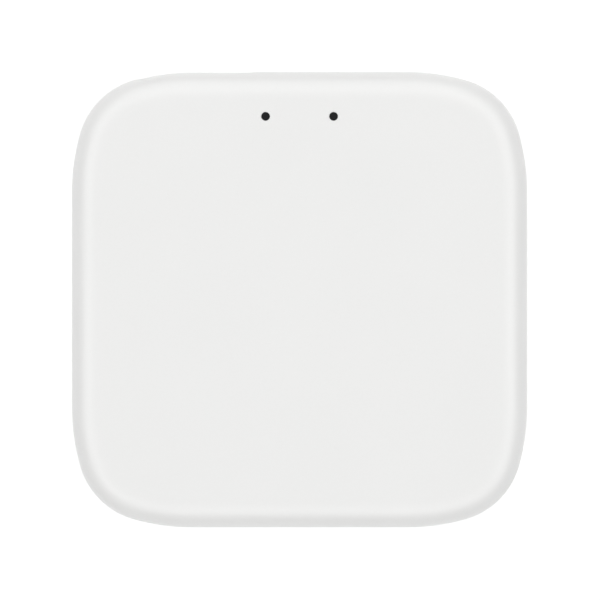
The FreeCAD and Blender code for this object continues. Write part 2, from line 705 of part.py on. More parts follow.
def usb_port_contacts():
    """Flat gilt contacts on both faces of the tongue."""
    half = USB_TONGUE_THICKNESS / 2
    y0 = USB_BACK + USB_BACK_BLOCK
    y1 = USB_FACE - USB_TONGUE_SETBACK - USB_CONTACT_SETBACK
    plates = []
    for i in range(USB_CONTACTS):
        x = USB_X + (i - (USB_CONTACTS - 1) / 2) * USB_CONTACT_PITCH
        for z0, z1 in ((half, half + USB_CONTACT_THICKNESS), (-half - USB_CONTACT_THICKNESS, -half)):
            w = USB_CONTACT_WIDTH / 2
            plates.append(block(x - w, x + w, y0, y1, USB_Z + z0, USB_Z + z1))
    return group(plates)


# ---------------------------------------------------------------------------------------------------------------
# Status lamps
def status_led(x):
    """A small surface-mount lamp with a round lens."""
    base = centred_block(x, LAMP_Y, LAMP_LENGTH, LAMP_WIDTH, BOARD_TOP, BOARD_TOP + LAMP_BASE)
    lens = post(LAMP_LENS_RADIUS, x, LAMP_Y, BOARD_TOP, BOARD_TOP + LAMP_HEIGHT)
    lens = lens.makeFillet(LAMP_LENS_RADIUS / 2, level_edges(lens, BOARD_TOP + LAMP_HEIGHT))
    return joined([base, lens])


def light_pipe(x):
    """A stepped smoked rod: a broad stem over the lamp and a slim tip in the top face."""
    stem = post(PIPE_RADIUS, x, LAMP_Y, BOARD_TOP + LAMP_HEIGHT + PIPE_AIR_GAP, CEILING_Z)
    tip = post(WINDOW_RADIUS - PIPE_FIT, x, LAMP_Y, CEILING_Z - 1, HEIGHT - PIPE_SUNK)
    return joined([stem, tip])


def led_light_shroud():
    """A dark rubber block that keeps each lamp's light in its own pipe."""
    width = LAMP_SPACING + 2 * SHROUD_SIDE
    body = centred_block(0, LAMP_Y, width, SHROUD_DEPTH, BOARD_TOP, BOARD_TOP + SHROUD_HEIGHT)
    bore = PIPE_RADIUS + SHROUD_BORE_CLEARANCE
    return body.cut([post(bore, x, LAMP_Y, BOARD_TOP - 1, BOARD_TOP + SHROUD_HEIGHT + 1) for x in LAMP_XS])


# ---------------------------------------------------------------------------------------------------------------
# Reset button and switch
def reset_button():
    """The button: a dished barrel in the side wall, a flange that keeps it in and a tail on the switch."""
    face = HALF_X - BUTTON_SUNK
    flange_front = INNER_WALL_X - FLANGE_GAP
    barrel = rod(BUTTON_RADIUS, flange_front - 0.1, face, BUTTON_Y, BUTTON_Z)
    rim = [e for e in barrel.Edges if abs(e.BoundBox.XMin - face) < 1e-5 and abs(e.BoundBox.XMax - face) < 1e-5]
    barrel = barrel.makeFillet(BUTTON_EDGE_RADIUS, rim)
    dish_radius = BUTTON_RADIUS - BUTTON_EDGE_RADIUS * 1.6
    ball = (dish_radius**2 + BUTTON_DISH**2) / (2 * BUTTON_DISH)
    dish = Part.makeSphere(ball, Vector(face - BUTTON_DISH + ball, BUTTON_Y, BUTTON_Z))
    flange = rod(FLANGE_RADIUS, flange_front - FLANGE_THICKNESS, flange_front, BUTTON_Y, BUTTON_Z)
    tail = rod(BUTTON_TAIL_RADIUS, BUTTON_TAIL_X, flange_front, BUTTON_Y, BUTTON_Z)
    return joined([barrel.cut(dish), flange, tail])


def reset_switch_housing():
    """The switch's moulded body, bored for the plunger and the dome."""
    half = SWITCH_SIZE / 2
    body = block(SWITCH_BACK, SWITCH_FRONT, BUTTON_Y - half, BUTTON_Y + half, BOARD_TOP, BUTTON_Z + half)
    return body.cut(rod(PLUNGER_FLANGE + PLUNGER_CLEARANCE, DOME_BASE, SWITCH_FRONT + 1, BUTTON_Y, BUTTON_Z))


def bracket_legs():
    """Where the switch bracket's two solder legs are."""
    x = (SWITCH_BACK + SWITCH_FRONT) / 2
    return [(x, BUTTON_Y + side * (SWITCH_SIZE / 2 + BRACKET_SHEET / 2)) for side in (-1, 1)]


def reset_switch_bracket():
    """The sheet-metal frame round the switch: a front plate, two cheeks and two legs."""
    half = SWITCH_SIZE / 2 + BRACKET_SHEET
    front = SWITCH_FRONT + BRACKET_SHEET
    top = BUTTON_Z + SWITCH_SIZE / 2
    plate = block(SWITCH_FRONT, front, BUTTON_Y - half, BUTTON_Y + half, BOARD_TOP, top)
    plate = plate.cut(rod(PLUNGER_RADIUS + PLUNGER_CLEARANCE, SWITCH_FRONT - 1, front + 1, BUTTON_Y, BUTTON_Z))
    pieces = [plate]
    for x, y in bracket_legs():
        cheek_top = BUTTON_Z
        x0 = SWITCH_BACK + SWITCH_DEPTH / 4
        sheet = BRACKET_SHEET / 2
        pieces.append(block(x0, front, y - sheet, y + sheet, BOARD_TOP, cheek_top))
        pieces.append(centred_block(x, y, BRACKET_LEG, BRACKET_SHEET, BOARD_BOTTOM - TAIL_LENGTH, BOARD_TOP + 1))
    return joined(pieces)


def switch_pins():
    """Where the switch's two signal pins are."""
    x = SWITCH_BACK + SWITCH_DEPTH / 4
    return [(x, BUTTON_Y + side * SWITCH_SIZE / 3) for side in (-1, 1)]


def reset_switch_pins():
    """The switch's two tinned signal pins, below the body."""
    bottom = BOARD_BOTTOM - TAIL_LENGTH
    return group([post(PIN_RADIUS, x, y, bottom, BOARD_TOP) for x, y in switch_pins()])


def reset_switch_plunger():
    """The round plunger between the button's tail and the dome."""
    crown = DOME_BASE + DOME_RISE
    stem = rod(PLUNGER_RADIUS, crown, BUTTON_TAIL_X, BUTTON_Y, BUTTON_Z)
    collar = rod(PLUNGER_FLANGE, SWITCH_FRONT - COLLAR_BACK, SWITCH_FRONT - COLLAR_FRONT, BUTTON_Y, BUTTON_Z)
    return joined([stem, collar])


def reset_switch_dome():
    """The snap dome that pushes the plunger back out."""
    outer = (DOME_RADIUS**2 + DOME_RISE**2) / (2 * DOME_RISE)
    centre = Vector(DOME_BASE + DOME_RISE - outer, BUTTON_Y, BUTTON_Z)
    cap = Part.makeSphere(outer, centre).cut(Part.makeSphere(outer - DOME_SHEET, centre))
    return cap.common(rod(DOME_RADIUS + 1, DOME_BASE, DOME_BASE + 2, BUTTON_Y, BUTTON_Z))


# ---------------------------------------------------------------------------------------------------------------
# Main board and what is soldered to it
def main_board():
    """The circuit board: the hub's outline, notched round the bosses, with holes for screws, pins and legs."""
    board = slab(BOARD_INSET, BOARD_BOTTOM, BOARD_TOP)
    low = BOARD_BOTTOM - 1
    high = BOARD_TOP + 1
    cuts = [post(BOSS_RADIUS + BOARD_BOSS_GAP, x, y, low, high) for x, y in at_corners(BOSS_INSET_X, BOSS_INSET_Y)]
    gap = BOSS_RADIUS + BOARD_BOSS_GAP
    reach = BOSS_INSET_Y
    for x, y in at_corners(BOSS_INSET_X, BOSS_INSET_Y):
        out_x = x + math.copysign(reach, x)
        out_y = y + math.copysign(reach, y)
        cuts.append(block(min(x, out_x), max(x, out_x), y - gap, y + gap, low, high))
        cuts.append(block(x - gap, x + gap, min(y, out_y), max(y, out_y), low, high))
    for kind in ("screw", "pin"):
        hole = BOARD_SCREW_RADIUS + BOARD_HOLE_CLEARANCE
        cuts += [post(hole, x, y, low, high) for x, y in board_points(kind)]
    cuts += [post(CONTACT_WIRE, contact_x(i), tail_y(i), low, high) for i in range(CONTACT_COUNT)]
    cuts += [post(PEG_RADIUS + PEG_CLEARANCE, x, peg_y(), low, high) for x in peg_xs()]
    shield_x = JACK_WIDTH / 2 - SHIELD_SHEET / 2
    long_slot = BRACKET_LEG + SLOT_GAP
    for side in (-1, 1):
        cuts.append(centred_block(JACK_X + side * shield_x, leg_y(), LEG_SLOT, long_slot, low, high))
    cuts += [centred_block(x, y, LEG_SLOT, USB_LEG_SLOT, low, high) for x, y in usb_legs()]
    cuts += [centred_block(x, y, long_slot, LEG_SLOT, low, high) for x, y in bracket_legs()]
    cuts += [post(PIN_HOLE_RADIUS, x, y, low, high) for x, y in switch_pins()]
    return board.cut(cuts).removeSplitter()


def package(x, y, size, bevel=PACKAGE_BEVEL, mark=True):
    """A moulded chip package with a bevelled top edge and, if asked, a dimple at its first pin."""
    top = BOARD_TOP + size[2]
    body = centred_block(x, y, size[0], size[1], BOARD_TOP, top)
    body = body.makeChamfer(bevel, level_edges(body, top))
    if mark:
        corner_x = x - size[0] / 2 + DIMPLE_INSET
        corner_y = y + size[1] / 2 - DIMPLE_INSET
        body = body.cut(post(DIMPLE_RADIUS, corner_x, corner_y, top - DIMPLE_DEPTH, top + 1))
    return body


def processor_place():
    """The main processor sits at the middle of the board."""
    return 0.0, -1.0


def memory_place():
    """The memory is beside the processor, on the left."""
    return -(PROCESSOR_SIZE / 2 + MEMORY_SIZE[0] / 2 + 2.0), -2.2


def flash_place():
    """The flash memory is beside the processor, on the right."""
    return PROCESSOR_SIZE / 2 + FLASH_SIZE[0] / 2 + 2.6, -4.6


def transformer_place():
    """The isolating transformer is right behind the jack."""
    return JACK_X, JACK_BACK - TRANSFORMER_SIZE[1] / 2 - 1.8


def inductor_places():
    """Two power inductors, in front of the USB inlet."""
    return [(USB_X - 5.4, 5.6), (USB_X + 0.9, 5.6)]


def can_places():
    """Two bulk capacitors, between the inductors and the USB inlet."""
    return [(USB_X + side * 3.6, USB_BACK - 5.2) for side in (-1, 1)]


def regulator_places():
    """Two voltage regulators, one for each inductor."""
    return [(x, y + INDUCTOR_SIZE[1] / 2 + 2.8) for x, y in inductor_places()]


def crystal_places():
    """Two crystals, one behind the processor and one between the radio modules."""
    return [(-2.6, 8.2), (-3.0, -13.0)]


def gull_lead(x, y, way, width):
    """One lead that leaves a package along Y at (x, y), drops and lies flat on the board."""
    flat = BOARD_TOP + LEAD_SHEET / 2
    raised = flat + LEAD_RISE
    run = ((0, raised), (LEAD_SHOULDER, raised), (LEAD_HEEL, flat), (LEAD_REACH, flat))
    points = [(y + way * out, z) for out, z in run]
    return prism_along_x(strip_outline(points, LEAD_SHEET), x - width / 2, x + width / 2)


def lead_row(place, depth, count, pitch, width):
    """Leads along both long sides of a package."""
    x, y = place
    leads = []
    for way in (-1, 1):
        for i in range(count):
            lead_x = x + (i - (count - 1) / 2) * pitch
            leads.append(gull_lead(lead_x, y + way * depth / 2, way, width))
    return leads


def component_leads():
    """The tinned leads of the flash memory, the transformer and the regulators."""
    leads = lead_row(flash_place(), FLASH_SIZE[1], 4, 1.27, 0.42)
    leads += lead_row(transformer_place(), TRANSFORMER_SIZE[1], 8, 1.27, 0.45)
    for place in regulator_places():
        leads += lead_row(place, REGULATOR_SIZE[1], 3, 0.95, 0.4)
    return group(leads)


def power_inductors():
    """Two shielded inductors: a square ferrite with rounded corners."""
    top = BOARD_TOP + INDUCTOR_SIZE[2]
    bodies = []
    for x, y in inductor_places():
        body = centred_block(x, y, INDUCTOR_SIZE[0], INDUCTOR_SIZE[1], BOARD_TOP, top)
        body = body.makeFillet(INDUCTOR_CORNER, upright_edges(body))
        body = body.makeChamfer(INDUCTOR_BEVEL, level_edges(body, top))
        bodies.append(body.cut(post(INDUCTOR_DISH[0], x, y, top - INDUCTOR_DISH[1], top + 1)))
    return group(bodies)


def bulk_capacitor_cans():
    """Two electrolytic capacitors' cans, with the crimp above the base."""
    cans = []
    z0 = BOARD_TOP + CAN_BASE[1]
    low, high, depth = CAN_GROOVE
    for x, y in can_places():
        can = post(CAN_RADIUS, x, y, z0, z0 + CAN_HEIGHT)
        can = can.makeFillet(CAN_ROUND, level_edges(can, z0 + CAN_HEIGHT))
        groove = post(CAN_RADIUS + 1, x, y, z0 + low, z0 + high)
        cans.append(can.cut(groove.cut(post(CAN_RADIUS - depth, x, y, z0, z0 + CAN_HEIGHT))))
    return group(cans)


def bulk_capacitor_bases():
    """The black plastic plates under the cans, with two corners cut off."""
    bases = []
    for x, y in can_places():
        base = centred_block(x, y, CAN_BASE[0], CAN_BASE[0], BOARD_TOP, BOARD_TOP + CAN_BASE[1])
        rear = [e for e in upright_edges(base) if e.BoundBox.YMin > y]
        bases.append(base.makeChamfer(CAN_BASE_CHAMFER, rear))
    return group(bases)


def clock_crystals():
    """Two crystals in low metal cans."""
    return group([package(x, y, CRYSTAL_SIZE, 0.12, False) for x, y in crystal_places()])


def small_parts():
    """Where the small two-ended parts are, as (x, y, turned), split into capacitors and resistors."""
    px, py = processor_place()
    reach = PROCESSOR_SIZE / 2 + 1.3
    near = [(px + (i - 2) * 2.3, py - reach - 0.2, True) for i in range(5)]
    beside = [(px + (i - 1) * 2.3 + 2.4, py + reach + 0.2, True) for i in range(3)]
    mx, my = memory_place()
    left = [(mx - MEMORY_SIZE[0] / 2 - 1.4, my + (i - 2) * 2.2, False) for i in range(5)]
    tx, ty = transformer_place()
    under = [(tx + (i - 2) * 2.4, ty - TRANSFORMER_SIZE[1] / 2 - LEAD_REACH - 1.0, True) for i in range(5)]
    ux = USB_X + USB_WIDTH / 2 + 1.8
    inlet = [(ux, USB_BACK + 1.0 + i * 1.6, False) for i in range(2)]
    lamps = [(side * (LAMP_X - 2.4), LAMP_Y - SHROUD_DEPTH / 2 - 1.4, True) for side in (-1, 1)]
    fx, fy = flash_place()
    flash = [(fx + (i - 1) * 2.0, fy - FLASH_SIZE[1] / 2 - LEAD_REACH - 1.3, True) for i in range(3)]
    return near + left + inlet, beside + under + lamps + flash


def chip_parts(places, height, grow=0.0):
    """Small two-ended parts: their bodies without the ends, or if grow is given, their ends."""
    solids = []
    for x, y, turned in places:
        size = (CHIP_WIDTH, CHIP_LENGTH) if turned else (CHIP_LENGTH, CHIP_WIDTH)
        whole = centred_block(x, y, size[0] + 2 * grow, size[1] + 2 * grow, BOARD_TOP, BOARD_TOP + height + grow)
        middle_size = (size[0] + 1, size[1] - 2 * CHIP_END) if turned else (size[0] - 2 * CHIP_END, size[1] + 1)
        middle = centred_block(x, y, *middle_size, BOARD_TOP - 1, BOARD_TOP + height + 1)
        solids.append(whole.cut(middle) if grow else whole.common(middle))
    return solids


def chip_end_caps():
    """The tinned ends of the capacitors and resistors, slightly larger than their bodies."""
    capacitors, resistors = small_parts()
    ends = chip_parts(capacitors, CAPACITOR_HEIGHT, CAP_THICKNESS)
    return group(ends + chip_parts(resistors, RESISTOR_HEIGHT, CAP_THICKNESS))


# ---------------------------------------------------------------------------------------------------------------
# Radio modules
def module_span(module):
    """A radio module's (x0, x1, y0, y1), from its width, depth and place."""
    width, depth, x = module
    y0 = BOARD_FRONT + MODULE_EDGE_GAP
    return x - width / 2, x + width / 2, y0, y0 + depth


def radio_board(module):
    """A module's own small board, with half-round plated notches down both sides."""
    x0, x1, y0, y1 = module_span(module)
    z1 = BOARD_TOP + MODULE_THICKNESS
    board = block(x0, x1, y0, y1, BOARD_TOP, z1)
    notches = []
    for i in range(CASTELLATION_COUNT):
        y = y1 - CASTELLATION_START - i * CASTELLATION_PITCH
        notches += [post(CASTELLATION_RADIUS, x, y, BOARD_TOP - 1, z1 + 1) for x in (x0, x1)]
    return board.cut(notches)


def radio_chip(module, size):
    """The radio chip under a module's can."""
    x0, x1, y0, y1 = module_span(module)
    z0 = BOARD_TOP + MODULE_THICKNESS
    z1 = z0 + RADIO_CHIP_HEIGHT
    chip = centred_block((x0 + x1) / 2, (y0 + ANTENNA_DEPTH + y1) / 2, size, size, z0, z1)
    return chip.makeChamfer(RADIO_CHIP_BEVEL, level_edges(chip, z1))


def radio_shield(module):
    """The pressed can over a module's circuits."""
    x0, x1, y0, y1 = module_span(module)
    m = SHIELD_MARGIN
    z0 = BOARD_TOP + MODULE_THICKNESS
    z1 = z0 + SHIELD_HEIGHT
    can = block(x0 + m, x1 - m, y0 + ANTENNA_DEPTH, y1 - m, z0, z1)
    can = can.makeFillet(CAN_CORNER, upright_edges(can) + level_edges(can, z1))
    t = CAN_SHEET
    hollow = block(x0 + m + t, x1 - m - t, y0 + ANTENNA_DEPTH + t, y1 - m - t, z0 - 1, z1 - t)
    return can.cut(hollow.makeFillet(CAN_CORNER - t, upright_edges(hollow) + level_edges(hollow, z1 - t)))


def radio_antenna(module):
    """A module's folded track antenna, on the bare end of its board."""
    x0, x1, y0, _ = module_span(module)
    z0 = BOARD_TOP + MODULE_THICKNESS
    w = ANTENNA_TRACK
    near = y0 + w
    far = y0 + ANTENNA_DEPTH - 3 * w
    pitch = (x1 - x0 - 4 * w) / (2 * ANTENNA_FOLDS)
    bars = []
    for i in range(2 * ANTENNA_FOLDS + 1):
        x = x0 + 2 * w + i * pitch
        feed = i == 2 * ANTENNA_FOLDS
        bars.append(block(x - w / 2, x + w / 2, near, far + (1.6 * w if feed else 0), z0, z0 + ANTENNA_SHEET))
        if not feed:
            y = near if i % 2 else far - w
            bars.append(block(x - w / 2, x + pitch + w / 2, y, y + w, z0, z0 + ANTENNA_SHEET))
    return joined(bars)


# ---------------------------------------------------------------------------------------------------------------
# Every node
def nodes():
    """All of the hub's pieces by node name."""
    capacitors, resistors = small_parts()
    made = {
        "top_cover": top_cover(),
        "base_cover": base_cover(),
        "rating_label": rating_label(),
        "case_screws": case_screws(),
        "board_screws": board_screws(),
        "main_board": main_board(),
        "ethernet_jack_shield": ethernet_jack_shield(),
        "ethernet_jack_housing": ethernet_jack_housing(),
        "ethernet_jack_contacts": ethernet_jack_contacts(),
        "usb_port_shell": usb_port_shell(),
        "usb_port_insulator": usb_port_insulator(),
        "usb_port_contacts": usb_port_contacts(),
        "led_light_shroud": led_light_shroud(),
        "reset_button": reset_button(),
        "reset_switch_housing": reset_switch_housing(),
        "reset_switch_bracket": reset_switch_bracket(),
        "reset_switch_pins": reset_switch_pins(),
        "reset_switch_plunger": reset_switch_plunger(),
        "reset_switch_dome": reset_switch_dome(),
        "processor_chip": package(*processor_place(), (PROCESSOR_SIZE, PROCESSOR_SIZE, PROCESSOR_HEIGHT)),
        "memory_chip": package(*memory_place(), MEMORY_SIZE),
        "flash_chip": package(*flash_place(), FLASH_SIZE),
        "lan_transformer": package(*transformer_place(), TRANSFORMER_SIZE, 0.3),
        "voltage_regulators": group([package(x, y, REGULATOR_SIZE, 0.15, False) for x, y in regulator_places()]),
        "component_leads": component_leads(),
        "power_inductors": power_inductors(),
        "bulk_capacitor_cans": bulk_capacitor_cans(),
        "bulk_capacitor_bases": bulk_capacitor_bases(),
        "clock_crystals": clock_crystals(),
        "ceramic_capacitors": group(chip_parts(capacitors, CAPACITOR_HEIGHT)),
        "chip_resistors": group(chip_parts(resistors, RESISTOR_HEIGHT)),
        "chip_end_caps": chip_end_caps(),
    }
    for sx, sy in CORNERS:
        name = ("rear_" if sy > 0 else "front_") + ("right" if sx > 0 else "left")
        made["foot_" + name] = foot(sx, sy)
    for name, x in (("left", -LAMP_X), ("right", LAMP_X)):
        made["status_led_" + name] = status_led(x)
        made["light_pipe_" + name] = light_pipe(x)
    for name, module, chip in (("zigbee", ZIGBEE_MODULE, ZIGBEE_CHIP), ("wifi", WIFI_MODULE, WIFI_CHIP)):
        made[name + "_radio_board"] = radio_board(module)
        made[name + "_radio_chip"] = radio_chip(module, chip)
        made[name + "_radio_shield"] = radio_shield(module)
        made[name + "_radio_antenna"] = radio_antenna(module)
    return made


def main():
    """Builds every node and writes each one's STEP file."""
    os.makedirs("parts", exist_ok=True)
    for name, shape in sorted(nodes().items()):
        good = shape.isValid() and len(shape.Solids) > 0 and all(s.Volume > 0 for s in shape.Solids)
        print(f"{name}: {len(shape.Solids)} solid(s), {shape.Volume:.2f} mm3{'' if good else ' NOT GOOD'}")
        if not good:
            raise RuntimeError(name + " is not a good solid")
        shape.exportStep(os.path.join("parts", name + ".step"))


main()
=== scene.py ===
"""Looks of a compact square smart home hub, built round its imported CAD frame.

Lengths are in metres, in the frame's own axes: +Z up, +Y the rear with the ports, +X the side with the button. MM
turns a size that is easier to read in millimetres into metres.
"""

import json
import logging
import math
from collections.abc import Callable, Iterable, Sequence
from dataclasses import dataclass, field
from enum import Enum

import bmesh
import bpy
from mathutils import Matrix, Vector

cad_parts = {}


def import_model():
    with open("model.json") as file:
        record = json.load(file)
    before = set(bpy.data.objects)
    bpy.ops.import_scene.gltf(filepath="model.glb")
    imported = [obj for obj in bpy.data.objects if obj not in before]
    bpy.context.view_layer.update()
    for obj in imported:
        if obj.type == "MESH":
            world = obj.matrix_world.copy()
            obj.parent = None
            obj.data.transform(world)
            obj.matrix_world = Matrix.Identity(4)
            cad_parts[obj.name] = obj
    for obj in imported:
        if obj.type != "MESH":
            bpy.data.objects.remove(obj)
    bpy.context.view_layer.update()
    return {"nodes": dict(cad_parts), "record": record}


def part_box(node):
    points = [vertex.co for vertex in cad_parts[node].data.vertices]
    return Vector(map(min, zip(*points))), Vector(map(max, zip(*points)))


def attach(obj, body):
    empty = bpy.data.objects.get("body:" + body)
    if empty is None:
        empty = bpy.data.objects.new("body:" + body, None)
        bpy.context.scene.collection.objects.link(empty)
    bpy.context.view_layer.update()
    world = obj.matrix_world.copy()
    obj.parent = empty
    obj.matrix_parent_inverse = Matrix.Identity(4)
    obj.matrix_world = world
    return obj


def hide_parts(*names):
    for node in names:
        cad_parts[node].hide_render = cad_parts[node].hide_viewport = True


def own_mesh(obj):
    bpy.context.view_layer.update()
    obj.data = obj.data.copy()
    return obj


LOG = logging.getLogger("hub")
MM = 0.001
Piece = bpy.types.Object
Shape = bmesh.types.BMesh
Point = tuple[float, float]
Ring = list[Vector]
Section = list[tuple[Point, Point]]
Surface = Callable[[float, float], float]

FEET = ("foot_front_left", "foot_front_right", "foot_rear_left", "foot_rear_right")
PIPES = ("light_pipe_left", "light_pipe_right")

# A finish's slow colour change is this many times its grain, and this range of the two together is spread over it.
BROAD_GRAIN = 40
SHARE_RANGE = (0.6, 1.4)

# Angles between faces, in degrees: above the first an edge stays sharp, above the second it is eased with so many
# faces, and below the third a CAD node's faces are one.
SHARP_ANGLE = 32.0
EASED_ANGLE = 38
EASED_FACES = 2
FLAT_ANGLE = 0.5

# How many points go round a tool's post.
POST_POINTS = 48

# Points nearer than this are one, in a piece that was cut and in a CAD node's own mesh.
MERGE_CUT = 0.0005 * MM
MERGE_NODE = 0.0002 * MM


# ----------
# Finishes
def linear(code: str) -> tuple[float, float, float, float]:
    """Turns an sRGB hex colour into the linear colour that shaders use.

    Args:
        code: The colour as #RRGGBB.

    Returns:
        Linear red, green and blue, with an alpha of 1.
    """
    channels = [int(code[i : i + 2], 16) / 255 for i in (1, 3, 5)]
    red, green, blue = (c / 12.92 if c <= 0.04045 else ((c + 0.055) / 1.055) ** 2.4 for c in channels)
    return red, green, blue, 1.0


def add_node(tree: bpy.types.NodeTree, kind: str, settings: dict | None = None, **inputs) -> bpy.types.Node:
    """Adds a shader node, with its settings, its sockets' values and its links.

    Args:
        tree: The node tree to add to.
        kind: The node's type, such as ShaderNodeBump.
        settings: Properties of the node itself.
        **inputs: A value for a socket, or the output socket to link to it. An underscore stands for a space.

    Returns:
        The new node.
    """
    node = tree.nodes.new(kind)
    for name, value in (settings or {}).items():
        setattr(node, name, value)
    for name, value in inputs.items():
        socket = node.inputs[name.replace("_", " ")]
        if isinstance(value, bpy.types.NodeSocket):
            tree.links.new(value, socket)
        else:
            socket.default_value = value
    return node


class Pattern(Enum):
    """How a surface was made, which sets the texture that its grain comes from and how the grain is stretched."""

    MOULDED = ("ShaderNodeTexNoise", (1.0, 1.0, 1.0))
    BRUSHED = ("ShaderNodeTexNoise", (0.06, 1.0, 1.0))
    DRAWN = ("ShaderNodeTexNoise", (1.0, 1.0, 0.05))
    CRYSTALLINE = ("ShaderNodeTexVoronoi", (1.0, 1.0, 1.0))
    WOVEN = ("ShaderNodeTexWave", (1.0, 1.0, 1.0))


@dataclass(frozen=True)
class Finish:
    """A surface finish, which is what a piece is made of and how its surface was made.

    colour and second are the two ends of its colour variation. grain and relief are the size and the height of its
    pattern, in millimetres. spread is how far the pattern moves the roughness either way.
    """

    title: str
    colour: str
    second: str
    roughness: float
    spread: float
    pattern: Pattern
    grain: float
    relief: float
    metallic: float = 0.0
    ior: float = 1.5
    coat: float = 0.0
    coat_roughness: float = 0.1

    def material(self) -> bpy.types.Material:
        """Makes the finish's node material."""
        material = bpy.data.materials.new(self.title)
        material.use_nodes = True
        tree = material.node_tree
        tree.nodes.clear()
        kind, stretch = self.pattern.value
        place = add_node(tree, "ShaderNodeTexCoord").outputs["Object"]
        placed = add_node(tree, "ShaderNodeMapping", Vector=place, Scale=stretch).outputs["Vector"]
        texture = add_node(tree, kind, Vector=placed, Scale=1 / (self.grain * MM))
        height = texture.outputs["Distance" if kind.endswith("Voronoi") else "Fac"]
        broad = add_node(tree, "ShaderNodeTexNoise", Vector=place, Scale=1 / (BROAD_GRAIN * self.grain * MM))
        mixed = add_node(tree, "ShaderNodeMath", {"operation": "ADD"})
        for socket, source in zip(mixed.inputs, (height, broad.outputs["Fac"])):
            tree.links.new(source, socket)
        low, high = SHARE_RANGE
        share = add_node(tree, "ShaderNodeMapRange", Value=mixed.outputs[0], From_Min=low, From_Max=high)
        colours = add_node(tree, "ShaderNodeValToRGB", Fac=share.outputs["Result"])
        for element, code in zip(colours.color_ramp.elements, (self.colour, self.second)):
            element.color = linear(code)
        low, high = self.roughness - self.spread, self.roughness + self.spread
        rough = add_node(tree, "ShaderNodeMapRange", Value=share.outputs["Result"], To_Min=low, To_Max=high)
        bump = add_node(tree, "ShaderNodeBump", Height=height, Strength=1.0, Distance=self.relief * MM)
        surface = add_node(
            tree,
            "ShaderNodeBsdfPrincipled",
            Base_Color=colours.outputs["Color"],
            Roughness=rough.outputs["Result"],
            Normal=bump.outputs["Normal"],
            Metallic=self.metallic,
            IOR=self.ior,
            Coat_Weight=self.coat,
            Coat_Roughness=self.coat_roughness,
        )
        add_node(tree, "ShaderNodeOutputMaterial", Surface=surface.outputs["BSDF"])
        return material


